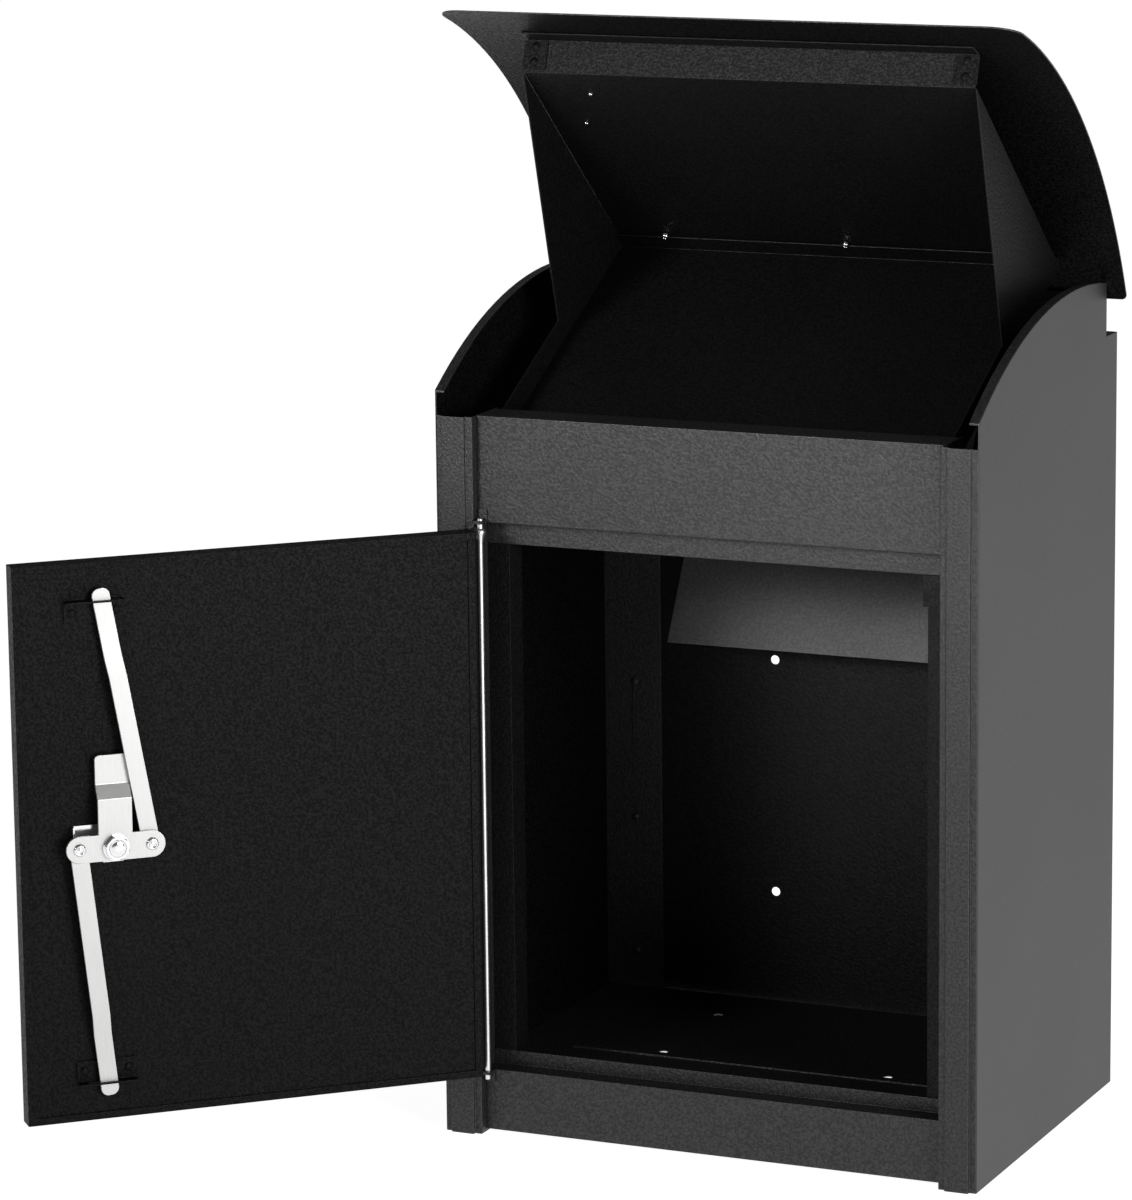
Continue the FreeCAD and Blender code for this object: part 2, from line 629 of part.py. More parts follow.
def hinge_knuckles(name, x, spans, leaf_corner, leaf_size, leaf_turn):
    """One leaf with its knuckles, bored for the pin."""
    leaf = block(name + "_leaf", leaf_size)
    turn = Rotation(Vector(1, 0, 0), float(leaf_turn))
    corner = HINGE + turn.multVec(Vector(0, *map(float, leaf_corner)))
    leaf.Placement = Placement(corner + Vector(float(x), 0, 0), turn)
    rolls = [round_bar(name + "_roll%d" % i, d.hinge_knuckle, length,
                       (float(x) + float(start), HINGE.y, HINGE.z), (1, 0, 0))
             for i, (start, length) in enumerate(spans)]
    whole = joined(name + "_whole", [leaf] + rolls)
    slots = [round_bar(name + "_gap%d" % i, d.hinge_knuckle + d.fit_gap, length,
                       (float(x) + float(start), HINGE.y, HINGE.z), (1, 0, 0))
             for i, (start, length) in enumerate(gaps_between(spans))]
    bore = round_bar(name + "_bore", d.hinge_pin_r + d.run_gap, d.hinge_w + 2,
                     (float(x) - 1, HINGE.y, HINGE.z), (1, 0, 0))
    return minus(name, whole, joined(name + "_cuts", slots + [bore]))


def gaps_between(spans):
    """The parts of the hinge's width that the knuckles leave for the other leaf."""
    gaps = []
    here = Size.of(0)
    for start, length in spans:
        if float(start) - float(here) > 0.01:
            gaps.append((here, start - here))
        here = start + length
    if float(d.hinge_w) - float(here) > 0.01:
        gaps.append((here, d.hinge_w - here))
    return gaps


outer_spans = [(Size.of(0), THIRD - d.fit_gap / 2), (3 * THIRD + d.fit_gap / 2, THIRD - d.fit_gap / 2)]
middle_spans = [(THIRD + d.fit_gap / 2, 2 * THIRD - d.fit_gap)]
fixed_leaves, lid_leaves, hinge_pins = [], [], []
LID_LEAF_TILT = -7.0
for side, x in enumerate(hinge_starts):
    fixed_leaves.append(hinge_knuckles(
        "fixed_leaf_%d" % side, x, outer_spans,
        (d.hinge_knuckle - g, 0 - d.hinge_leaf), (d.hinge_w, g, d.hinge_leaf), 0))
    lid_leaves.append(hinge_knuckles(
        "lid_leaf_%d" % side, x, middle_spans,
        (0 - d.hinge_leaf, d.hinge_knuckle - g), (d.hinge_w, d.hinge_leaf, g), LID_LEAF_TILT))
    hinge_pins.append(round_bar("hinge_pin_%d" % side, d.hinge_pin_r, d.hinge_w + 2,
                                (float(x) - 1, HINGE.y, HINGE.z), (1, 0, 0)))
node(group("fixed_leaves", fixed_leaves), "hinge_leaves_fixed", CENTRE)
node(group("lid_leaves", lid_leaves), "hinge_leaves_lid", LID)
node(group("hinge_pin_group", hinge_pins), "hinge_pins", CENTRE)

# ---------------------------------------------------------------- lid and hopper
lid_inner_r = d.arc_r + d.lid_gap
lid_w = d.body_w + 2 * d.lid_over
arc_centre = (0 - d.lid_over, arc_y, arc_z)


def arc_wedge(name, radius):
    """A sector of a cylinder lying across the cabinet."""
    wedge = doc.addObject("Part::Cylinder", name)
    wedge.setExpression("Radius", Size.of(radius).text)
    wedge.setExpression("Height", lid_w.text)
    wedge.setExpression("Angle", d.lid_span.text)
    lie = Rotation(Vector(0, 1, 0), Vector(0, 0, 1), Vector(1, 0, 0), "ZXY")
    tilt = Rotation(Vector(1, 0, 0), float(d.lid_tail))
    wedge.Placement = Placement(Vector(*map(float, arc_centre)), tilt * lie)
    return wedge


lid_sheet = minus("lid_sheet", arc_wedge("lid_outer", lid_inner_r + g), arc_wedge("lid_inner", lid_inner_r))
doc.recompute()
lid_rounded = doc.addObject("Part::Fillet", "lid_rounded")
lid_rounded.Base = lid_sheet
lid_corners = []
for i, edge in enumerate(lid_sheet.Shape.Edges, 1):
    if near(edge.Length, g) and len(edge.Vertexes) == 2:
        at_front = edge.CenterOfMass.y < float(arc_y)
        radius = float(d.lid_corner_r if at_front else d.lid_rear_r)
        lid_corners.append((i, radius, radius))
lid_rounded.Edges = lid_corners
node(lid_rounded, "lid_shell", LID)

wing_left = d.hopper_inset
wing_right = d.body_w - d.hopper_inset
hopper_w = wing_right - wing_left
APEX = (Size.of(0), hinge_y - d.apex_back, hinge_z + d.apex_up)


def slab(name, length, thickness, width, x, start, angle, side):
    """A flat strip that starts at a point (y, z), runs 'length' at 'angle', thickened to one side."""
    box = block(name, (width, length, thickness))
    turn = Rotation(Vector(1, 0, 0), float(angle))
    shift = Vector(0, 0, 0) if side > 0 else turn.multVec(Vector(0, 0, -float(thickness)))
    box.Placement = Placement(Vector(float(x), float(start[0]), float(start[1])) + shift, turn)
    return box


def along(start, length, angle):
    a = math.radians(float(angle))
    return (float(start[0]) + float(length) * math.cos(a), float(start[1]) + float(length) * math.sin(a))


apex = (APEX[1], APEX[2])
chute_angle = 180 + float(d.chute_fall)
tray_angle = 270 - float(d.tray_lean)
sheet_x0 = wing_left + g
sheet_w = hopper_w - 2 * g
lip_angle = chute_angle - 180 + float(d.lip_turn)
flange_angle = chute_angle - 180 + float(d.lip_flange_turn)
chute_start = along(apex, d.fold_gap, chute_angle)
lip_foot = along(apex, d.chute_len, chute_angle)
lip_top = along(lip_foot, d.lip_h, lip_angle)
chute = slab("chute_plate", d.chute_len - d.fold_gap, g, sheet_w, sheet_x0, chute_start, chute_angle, -1)
lip = slab("lip_plate", d.lip_h, g, sheet_w, sheet_x0, lip_foot, lip_angle, -1)
lip_flange = slab("lip_flange_plate", d.lip_flange, g, sheet_w, sheet_x0, lip_top, flange_angle, 1)

tray_start = along(apex, float(g) * 1.1, tray_angle)
tray = slab("tray_plate", d.tray_len, g, sheet_w, sheet_x0, tray_start, tray_angle, -1)
upstand = slab("tray_upstand", d.tray_rise, g, sheet_w, sheet_x0, tray_start, chute_angle, 1)
node(joined("tray_join", [tray, upstand]), "hopper_floor", LID)


def hopper_wing(name, x):
    """A hopper side: a V-shaped cheek, low along the floor's front, with a fixing flange."""
    tray_front = along(apex, d.tray_len, tray_angle)
    foot_line = along(apex, float(d.tray_len) - float(d.wing_foot), tray_angle)
    low = tray_angle - 90
    outline = [along(apex, 0, 0), lip_foot, along(foot_line, d.wing_low, low),
               along(tray_front, d.wing_low, low), tray_front]
    points = [Vector(float(x), y, z) for y, z in outline]
    wire = Part.makePolygon(points + points[:1])
    cheek = Part.Face(wire).extrude(Vector(float(g), 0, 0))
    wing = doc.addObject("Part::Feature", name + "_cheek")
    wing.Shape = cheek
    return node(wing, name, LID)


hopper_wing("hopper_wing_left", wing_left)
hopper_wing("hopper_wing_right", wing_right - g)

brackets, bracket_rivets = [], []
face_normal = (0, -math.sin(math.radians(lip_angle)), math.cos(math.radians(lip_angle)))
for i, x in enumerate((wing_left, wing_right - d.lip_bracket)):
    foot = along(lip_foot, d.bracket_margin, lip_angle)
    plate = slab("lip_bracket_%d" % i, d.lip_h - 2 * d.bracket_margin, g, d.lip_bracket, x, foot, lip_angle, 1)
    brackets.append(plate)
    for j, share in enumerate((0.3, 0.75)):
        spot = along(lip_foot, float(d.lip_h) * share, lip_angle)
        top = Vector(float(x) + float(d.lip_bracket) / 2, *spot) + Vector(*face_normal) * float(g)
        bracket_rivets.append(rivet("lip_rivet_%d_%d" % (i, j), tuple(top), face_normal, 2 * g))


def lip_holes(name):
    """Drills for the bracket rivets."""
    return joined(name, [round_bar("%s_%d" % (name, i), d.rivet_r + d.run_gap, 8 * g,
                                   tuple(r.Placement.Base - Vector(*face_normal) * 5), face_normal)
                         for i, r in enumerate(bracket_rivets)])


node(minus("brackets_drilled", group("bracket_pair", brackets), lip_holes("bracket_drill")),
     "lip_brackets", LID)
node(minus("chute_drilled", joined("chute_join", [chute, lip, lip_flange]), lip_holes("chute_drill")),
     "hopper_back", LID)
node(group("lip_rivet_group", bracket_rivets), "lip_rivets", LID)

# ---------------------------------------------------------------- door
door_right = d.body_w - d.post_w - d.door_free_gap
door_base = d.sill_top + d.door_gap
door_head = door_top - d.door_gap
door_rear = d.face_y + d.door_thick
lock_x = door_right - d.lock_edge
liner_rear = door_rear - g

skin = new_body("door_skin")
skin_section = new_sketch(skin, "XY_Plane", door_base)
skin_path = [(d.door_left + d.door_lip, door_rear), (d.door_left, door_rear), (d.door_left, d.face_y),
             (door_right, d.face_y), (door_right, door_rear), (door_right - d.door_lip, door_rear)]
polygon(skin_section, folded(skin_path, g, 1))
pad(skin, skin_section, door_head - door_base)
for edge_z, lip_z in ((door_head - g, door_head - d.door_lip), (door_base, door_base)):
    cap = new_sketch(skin, "XY_Plane", edge_z)
    rectangle(cap, d.door_left, d.face_y, door_right, door_rear)
    pad(skin, cap, g)
    turned = new_sketch(skin, "XY_Plane", lip_z)
    rectangle(turned, d.door_left, door_rear - g, door_right, door_rear)
    pad(skin, turned, d.door_lip)
bore = new_sketch(skin, "XZ_Plane")
cut_through(skin, circles(bore, [(lock_x, d.lock_z)], d.barrel_r + d.run_gap))
node(skin, "door_skin", DOOR)

guide_z = [door_head - d.guide_from_top, door_base + d.guide_from_base]
guide_x = lock_x + d.guide_shift
guide_rivet_x = [guide_x - d.guide_w / 2 + 5, guide_x + d.guide_w / 2 - 5]
guide_rivet_z = [guide_z[0] - d.guide_foot / 2, guide_z[1] + d.guide_foot / 2]
guide_rivet_spots = [(x, z) for z in guide_rivet_z for x in guide_rivet_x]

liner = new_body("door_liner")
liner_sketch = new_sketch(liner, "XZ_Plane", 0 - liner_rear)
rectangle(liner_sketch, d.door_left + g + d.fit_gap, door_base + g + d.fit_gap,
          door_right - g - d.fit_gap, door_head - g - d.fit_gap)
pad(liner, liner_sketch, g)
cut_through(liner, circles(new_sketch(liner, "XZ_Plane"), [(lock_x, d.lock_z)], d.barrel_r + d.run_gap))
cut_through(liner, circles(new_sketch(liner, "XZ_Plane"), guide_rivet_spots, d.rivet_r + d.run_gap))
node(liner, "door_liner", DOOR)

# The curl hooks round the front of the rod and stays open towards the inside of the door.
curl_bore = d.pivot_r + d.run_gap
curl_r = curl_bore + d.curl_wall
curl_len = door_head - door_base
curl_tube = minus("curl_tube",
                  round_bar("curl_outer", curl_r, curl_len, (d.pivot_x, d.pivot_y, door_base)),
                  round_bar("curl_inner", curl_bore, curl_len, (d.pivot_x, d.pivot_y, door_base)))
curl_open = block("curl_open", (2 * curl_r + 2, curl_r + 2, curl_len),
                  (d.pivot_x - curl_r - 1, d.pivot_y, door_base))
leaf_body = new_body("curl_leaf")
leaf_x = d.pivot_x + curl_bore
tab_x = d.door_left - d.fit_gap
leaf_y = d.pivot_y + d.leaf_reach
leaf_outline = [(leaf_x, d.pivot_y), (leaf_x + d.curl_wall, d.pivot_y), (tab_x, leaf_y - d.leaf_tab / 2),
                (tab_x, leaf_y + d.leaf_tab), (tab_x - d.curl_wall, leaf_y + d.leaf_tab),
                (tab_x - d.curl_wall, leaf_y - d.leaf_tab / 2 + d.curl_wall)]
leaf_sketch = new_sketch(leaf_body, "XY_Plane", door_base)
polygon(leaf_sketch, leaf_outline)
pad(leaf_body, leaf_sketch, curl_len)
curl = joined("curl_join", [minus("curl_hook", curl_tube, curl_open), leaf_body])
ball_z = door_head - d.ball_drop - d.pivot_ball_r
ball_room = block("ball_room", (curl_r + d.pivot_ball_r + 1, curl_r * 2 + 4, curl_len),
                  (d.pivot_x - curl_r - 1, d.pivot_y - curl_r - 1, ball_z - d.pivot_ball_r - d.fit_gap))
node(minus("curl_notched", curl, ball_room), "door_hinge_curl", DOOR)

rod_foot = d.sill_top - d.rod_under
rod_top = door_top + d.lug_t + d.rod_over
rod_bar = round_bar("hinge_rod_bar", d.pivot_r, rod_top - rod_foot, (d.pivot_x, d.pivot_y, rod_foot))
ball = doc.addObject("Part::Sphere", "hinge_rod_ball")
ball.setExpression("Radius", d.pivot_ball_r.text)
ball.Placement = Placement(Vector(float(d.pivot_x), float(d.pivot_y), float(ball_z)), Rotation())
node(joined("hinge_rod_join", [rod_bar, ball]), "hinge_rod", DOOR)


def pivot_lug(name, z, mirrored):
    """A lug on the front of the frame, bored for the hinge rod."""
    left = d.pivot_x - curl_r
    plate = block(name + "_plate", (curl_r * 2, d.face_y - d.lug_nose, d.lug_t), (left, d.lug_nose, z))
    fix = block(name + "_fix", (curl_r * 2, d.lug_bite, d.lug_fix),
                (left, d.face_y - d.lug_bite, z if mirrored else z + d.lug_t - d.lug_fix))
    hole = round_bar(name + "_hole", d.pivot_r + d.run_gap, d.lug_t + 2, (d.pivot_x, d.pivot_y, z - 1))
    whole = joined(name + "_whole", [plate, fix])
    return node(minus(name, whole, hole), name, CENTRE)


pivot_lug("pivot_lug_top", door_top, True)
pivot_lug("pivot_lug_bottom", d.sill_top - d.lug_t, False)

# ---------------------------------------------------------------- lock on the door
rod_y = stop_y + d.rod_plane
cam_y = stop_y + d.cam_lift - d.cam_gauge / 2
stack_y = cam_y - d.fit_gap - d.cam_gauge

barrel = joined("barrel_whole", [
    round_bar("barrel_flange", d.barrel_flange_r, d.barrel_flange_t,
              (lock_x, d.face_y - d.barrel_flange_t, d.lock_z), (0, 1, 0)),
    round_bar("barrel_tube", d.barrel_r, cam_y - 1 - d.face_y, (lock_x, d.face_y, d.lock_z), (0, 1, 0))])
barrel_bore = round_bar("barrel_bore", d.plug_r + d.run_gap, 60, (lock_x, d.face_y - 20, d.lock_z), (0, 1, 0))
node(minus("barrel_cut", barrel, barrel_bore), "lock_barrel", DOOR)

plug_front = d.face_y - d.plug_nose
plug_len = cam_y + d.cam_gauge + d.plug_tail - plug_front
key_plug = round_bar("key_plug_bar", d.plug_r, plug_len, (lock_x, plug_front, d.lock_z), (0, 1, 0))
keyway = block("keyway", (d.keyway_w, d.plug_nose + 1, d.keyway_h),
               (lock_x - d.keyway_w / 2, plug_front - 1, d.lock_z - d.keyway_h / 2))
node(minus("key_plug_cut", key_plug, keyway), "key_plug", DOOR)


def hexagon(name, radius, height, at):
    """A six-sided nut lying along Y."""
    prism = doc.addObject("Part::Prism", name)
    prism.Polygon = 6
    prism.setExpression("Circumradius", Size.of(radius).text)
    prism.setExpression("Height", Size.of(height).text)
    prism.Placement = Placement(Vector(*map(float, at)), Rotation(Vector(0, 0, 1), Vector(0, 1, 0)))
    return prism


barrel_nut = hexagon("barrel_nut_hex", d.barrel_nut_r, d.barrel_nut_h, (lock_x, liner_rear, d.lock_z))
nut_hole = round_bar("barrel_nut_hole", d.barrel_r + d.run_gap, 10, (lock_x, liner_rear - 2, d.lock_z), (0, 1, 0))
node(minus("barrel_nut_cut", barrel_nut, nut_hole), "barrel_nut", DOOR)
cam_nut = hexagon("cam_nut_hex", d.cam_nut_r, d.cam_nut_h, (lock_x, cam_y + d.cam_gauge + d.washer_t, d.lock_z))
cam_nut_hole = round_bar("cam_nut_hole", d.plug_r + d.run_gap, 20, (lock_x, cam_y, d.lock_z), (0, 1, 0))
node(minus("cam_nut_cut", cam_nut, cam_nut_hole), "cam_nut", DOOR)
washer = round_bar("cam_washer_disc", d.washer_r, d.washer_t, (lock_x, cam_y + d.cam_gauge, d.lock_z), (0, 1, 0))
washer_hole = round_bar("cam_washer_hole", d.plug_r + d.run_gap, 20, (lock_x, cam_y, d.lock_z), (0, 1, 0))
node(minus("cam_washer_cut", washer, washer_hole), "cam_washer", DOOR)

# Stop bracket beside the barrel, turned up at its end.
stop_arm = block("stop_arm", (d.stop_arm_len, g, d.stop_arm_w),
                 (lock_x + d.stop_reach + g - d.stop_arm_len, liner_rear, d.lock_z + d.stop_rise))
stop_tab = block("stop_tab", (g, d.stop_tab_len, d.stop_arm_w),
                 (lock_x + d.stop_reach, liner_rear, d.lock_z + d.stop_rise))
stop_clear = hexagon("stop_clear", d.barrel_nut_r + d.fit_gap, 20, (lock_x, liner_rear - 5, d.lock_z))
node(minus("stop_cut", joined("stop_join", [stop_arm, stop_tab]), stop_clear), "cam_stop", DOOR)

# Cam: a cross bar with round ends and a tongue that steps towards the door.
cam = new_body("cam_plate")
cam_sketch = new_sketch(cam, "XZ_Plane", 0 - (cam_y + d.cam_gauge))
rectangle(cam_sketch, lock_x - d.cam_pin, d.lock_z - d.cam_end_r, lock_x + d.cam_pin, d.lock_z + d.cam_end_r)
pad(cam, cam_sketch, d.cam_gauge)
for sign in (-1, 1):
    end = new_sketch(cam, "XZ_Plane", 0 - (cam_y + d.cam_gauge))
    circles(end, [(lock_x + sign * d.cam_pin, d.lock_z)], d.cam_end_r)
    pad(cam, end, d.cam_gauge)
tongue = new_sketch(cam, "YZ_Plane", lock_x - d.tongue_w / 2)
bend0 = d.lock_z + d.tongue_bend
bend1 = bend0 + d.tongue_bend_len
polygon(tongue, [(cam_y, d.lock_z), (cam_y + d.cam_gauge, d.lock_z),
                 (cam_y + d.cam_gauge, bend0 + 0.5), (rod_y + d.cam_gauge, bend1 + 0.5),
                 (rod_y + d.cam_gauge, d.lock_z + d.tongue_len), (rod_y, d.lock_z + d.tongue_len),
                 (rod_y, bend1 - 0.5), (cam_y, bend0 - 0.5)])
pad(cam, tongue, d.tongue_w)
cam_holes = new_sketch(cam, "XZ_Plane")
circles(cam_holes, [(lock_x, d.lock_z)], d.plug_r + d.run_gap)
circles(cam_holes, [(lock_x - d.cam_pin, d.lock_z), (lock_x + d.cam_pin, d.lock_z)], d.rod_pin_r)
cut_through(cam, cam_holes)
tongue_top = d.lock_z + d.tongue_len
round_edges(cam, 3, lambda a, b: near(a.z, tongue_top) and near(b.z, tongue_top) and near(a.x, b.x))
node(cam, "cam_plate", DOOR)

pin_spots = {"rod_pin_upper": lock_x - d.cam_pin, "rod_pin_lower": lock_x + d.cam_pin}
for label, x in pin_spots.items():
    base_y = stack_y - d.pin_foot_t
    shank = round_bar(label + "_shank", d.rod_pin_r, cam_y + d.cam_gauge - base_y, (x, base_y, d.lock_z), (0, 1, 0))
    head = rivet(label + "_head", (x, cam_y + d.cam_gauge, d.lock_z), (0, 1, 0), 1,
                 d.pin_head_r, d.pin_head_h, d.rod_pin_r)
    foot = round_bar(label + "_foot", d.pin_head_r, d.pin_foot_t - 2 * d.run_gap,
                     (x, base_y, d.lock_z), (0, 1, 0))
    node(joined(label + "_join", [shank, head, foot]), label, DOOR)

rod_drop = stack_y - rod_y


def lock_rod(name, reach, x, lean, downward):
    """A flat rod with a joggle, hung on its cam pin; drawn upright with the pin's hole at the origin."""
    body = new_body(name)
    side = new_sketch(body, "YZ_Plane")
    tail = d.rod_w / 2
    j0, j1 = d.rod_joggle, d.rod_joggle + d.rod_joggle_len
    t = d.cam_gauge
    polygon(side, [(rod_drop, 0 - tail), (rod_drop + t, 0 - tail), (rod_drop + t, j0 + 0.3), (t, j1 + 0.3),
                   (t, reach), (0, reach), (0, j1 - 0.3), (rod_drop, j0 - 0.3)])
    pad(body, side, d.rod_w, True)
    cut_through(body, circles(new_sketch(body, "XZ_Plane"), [(0, 0)], d.rod_pin_r + d.run_gap))
    far = float(reach)
    round_edges(body, d.rod_w / 2 - 1,
                lambda a, b: near(a.x, b.x) and near(a.z, b.z) and (near(a.z, far) or near(a.z, -float(tail))))
    turn = Rotation(Vector(0, 1, 0), (180 if downward else 0) + float(lean))
    return node(body, name, DOOR * Placement(Vector(float(x), float(rod_y), float(d.lock_z)), turn))


lock_rod("lock_rod_upper", d.upper_rod_len, lock_x - d.cam_pin, d.upper_rod_lean, False)
lock_rod("lock_rod_lower", d.lower_rod_len, lock_x + d.cam_pin, d.lower_rod_lean, True)


def rod_guide(name, z, slot_shift, foot_down):
    """A slotted shelf that keeps a rod against the door, on a riveted foot."""
    body = new_body(name)
    shelf = new_sketch(body, "XY_Plane", z)
    x0, x1 = guide_x - d.guide_w / 2, guide_x + d.guide_w / 2
    rectangle(shelf, x0, liner_rear, x1, rod_y + d.cam_gauge + 3)
    pad(body, shelf, g)
    slot = new_sketch(body, "XY_Plane")
    slot_x = lock_x + slot_shift
    rectangle(slot, slot_x - d.guide_slot_w / 2, rod_y - d.fit_gap - 0.5,
              slot_x + d.guide_slot_w / 2, rod_y + d.cam_gauge + d.fit_gap + 0.2)
    cut_through(body, slot)
    foot = new_sketch(body, "XZ_Plane", 0 - (liner_rear + g))
    foot_z = z - d.guide_foot if foot_down else z + g
    rectangle(foot, x0, foot_z, x1, foot_z + d.guide_foot)
    pad(body, foot, g)
    cut_through(body, circles(new_sketch(body, "XZ_Plane"), guide_rivet_spots, d.rivet_r + d.run_gap))
    return node(body, name, DOOR)


rod_guide("rod_guide_upper", guide_z[0], d.upper_slot_shift, True)
rod_guide("rod_guide_lower", guide_z[1] - g, d.lower_slot_shift, False)
guide_rivets = [rivet("guide_rivet_%d" % i, (x, liner_rear + g, z), (0, 1, 0), 2 * g)
                for i, (x, z) in enumerate(guide_rivet_spots)]
node(group("guide_rivet_group", guide_rivets), "guide_rivets", DOOR)

# ---------------------------------------------------------------- check and write
doc.recompute()
for obj, label, place in NODES:
    obj.Placement = place * obj.Placement if obj.TypeId == "Part::Feature" else place
doc.recompute()
faults = ["%s %s" % (o.Name, o.State) for o in doc.Objects if "Invalid" in o.State or "Error" in o.State]
for obj, label, place in NODES:
    if obj.Shape.isNull() or not obj.Shape.isValid() or not obj.Shape.Solids:
        faults.append("%s has no sound shape" % label)
if faults:
    raise RuntimeError("; ".join(faults))
os.makedirs("parts", exist_ok=True)
for obj, label, place in NODES:
    obj.Shape.exportStep("parts/%s.step" % label)
    print(label, len(obj.Shape.Solids), round(obj.Shape.Volume, 1))
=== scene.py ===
import json
import math

import bmesh
import bpy
from bpy.props import FloatProperty, FloatVectorProperty, IntProperty, PointerProperty
from mathutils import Matrix, Vector


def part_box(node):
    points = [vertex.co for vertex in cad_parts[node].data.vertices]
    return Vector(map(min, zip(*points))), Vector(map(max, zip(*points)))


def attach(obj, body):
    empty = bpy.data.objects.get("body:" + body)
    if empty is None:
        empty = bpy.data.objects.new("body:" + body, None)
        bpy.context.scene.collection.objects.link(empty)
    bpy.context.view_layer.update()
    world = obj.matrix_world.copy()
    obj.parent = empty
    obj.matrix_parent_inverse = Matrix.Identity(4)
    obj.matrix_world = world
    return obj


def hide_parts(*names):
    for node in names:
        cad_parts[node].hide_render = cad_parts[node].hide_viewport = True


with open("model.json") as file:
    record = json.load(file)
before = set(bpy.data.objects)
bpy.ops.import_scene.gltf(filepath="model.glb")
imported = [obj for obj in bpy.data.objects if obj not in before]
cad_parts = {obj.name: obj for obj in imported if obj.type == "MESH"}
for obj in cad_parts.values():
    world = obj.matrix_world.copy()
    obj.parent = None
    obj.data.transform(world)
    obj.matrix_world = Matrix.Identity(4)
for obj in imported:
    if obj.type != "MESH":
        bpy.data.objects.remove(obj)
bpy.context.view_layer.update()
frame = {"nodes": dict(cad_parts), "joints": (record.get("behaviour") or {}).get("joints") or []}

bl_info = {
    "name": "Parcel drop box",
    "version": (1, 0, 0),
    "blender": (4, 5, 0),
    "location": "View3D > Sidebar > Drop box",
    "description": "Finishes a steel parcel drop box: powder coat, folds, fasteners, lock metal and studio",
    "category": "Object",
}

MM = 0.001
NODES = frame["nodes"]
JOINTS = {joint["name"]: joint for joint in frame["joints"]}

# The side panels' outer face and the rear of the front posts.
CAD_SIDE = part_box("side_panel_right")[1].x
POST_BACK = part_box("door_stop_right")[1].y

# From the lid hinge: the axis of the lid's curve and the hopper's fold. The hopper's back rises at an angle.
LID_AXIS = Vector((0, -323.4 * MM, -151.9 * MM))
HOPPER_FOLD = Vector((0, -8.7 * MM, 13.2 * MM))
HOPPER_RISE = math.radians(140.4)

# Seam screws: their row above the fold, how far they stand out, and the row's shift to the right.
SEAM_UP = 17.5 * MM
SEAM_OUT = 1.5 * MM
SEAM_SHIFT = 11.8 * MM
SCREW_HEIGHT = 1.9 * MM

# Small rivets on the hopper's back: places above the fold and across, how far out, and their head.
DOT_PLACES = ((192.9 * MM, -119.5 * MM), (156.7 * MM, -135.0 * MM))
DOT_OUT = 0.2 * MM
DOT_RADIUS = 1.6 * MM
DOT_HEIGHT = 0.9 * MM

# Hinge rod: the ball's centre below the door's top, the drop's length in ball radii, the chamfer of the ends.
BALL_DROP = 4.3 * MM
DROP_LENGTH = 2.3
ROD_CHAMFER = 0.4 * MM

# Mesh clean-up: points closer than WELD are one, FLAT merges facets, edges past CREASE are rounded.
WELD = 0.002 * MM
FLAT = math.radians(0.3)
CREASE = math.radians(30)

# Edges past these angles are shaded sharp on sheets, on turned pieces and on the nut.
SHEET_SHARP = math.radians(34)
TURNED_SHARP = math.radians(40)
NUT_SHARP = math.radians(24)

# The eased edge of the cam's stop bracket.
STOP_EDGE = 0.2 * MM

# Powder coat: fine pebbles per coarse one, lumps of film thickness per metre, and the depths under the side
# panels' outer face where the smoother coat starts and where it is complete.
FINE_GRAIN = 2.3
CLOUD_SCALE = 9.0
SKIN = 0.9 * MM
SKIN_FADE = 0.4 * MM

# Studio: name, place, point looked at, size, the setting that holds its power, and spread in degrees.
SOFTBOXES = (
    ("key_softbox", (-0.60, -1.95, 1.20), (0.0, -0.1, 0.66), 0.8, "key", 26),
    ("side_softbox", (1.9, -1.1, 0.75), (0.0, 0.0, 0.42), 1.0, "side", 120),
    ("inner_softbox", (0.55, -1.7, 0.95), (0.07, 0.10, 0.335), 0.2, "inner", 9),
)
# The camera's sensor in millimetres, how far it sees and how far the floor reaches each way in metres.
SENSOR_WIDTH = 36.0
SIGHT_END = 200.0
FLOOR_REACH = 60.0
FLOOR_HEIGHT = -0.4 * MM

# Folded sheets: the rolled folds are drawn on a copy that stands for the plain sheet.
CABINET_SHEETS = ("side_panel_left", "side_panel_right", "back_panel", "floor_panel", "fascia", "plinth",
                  "door_stop_left", "door_stop_right", "rear_baffle")
LID_SHEETS = ("lid_shell", "hopper_back", "hopper_floor", "hopper_wing_left", "hopper_wing_right",
              "lip_brackets")
DOOR_SHEETS = ("door_skin", "door_liner", "door_hinge_curl")
LOCK_SHEETS = (("lock_cam", "cam_plate"), ("rod_upper", "lock_rod_upper"), ("rod_lower", "lock_rod_lower"))
BRIGHT_CAD = ("lock_barrel", "key_plug", "barrel_nut", "cam_washer")
BLACK_CAD = ("pivot_lug_top", "pivot_lug_bottom", "hinge_leaves_fixed", "hinge_leaves_lid", "back_rivets")


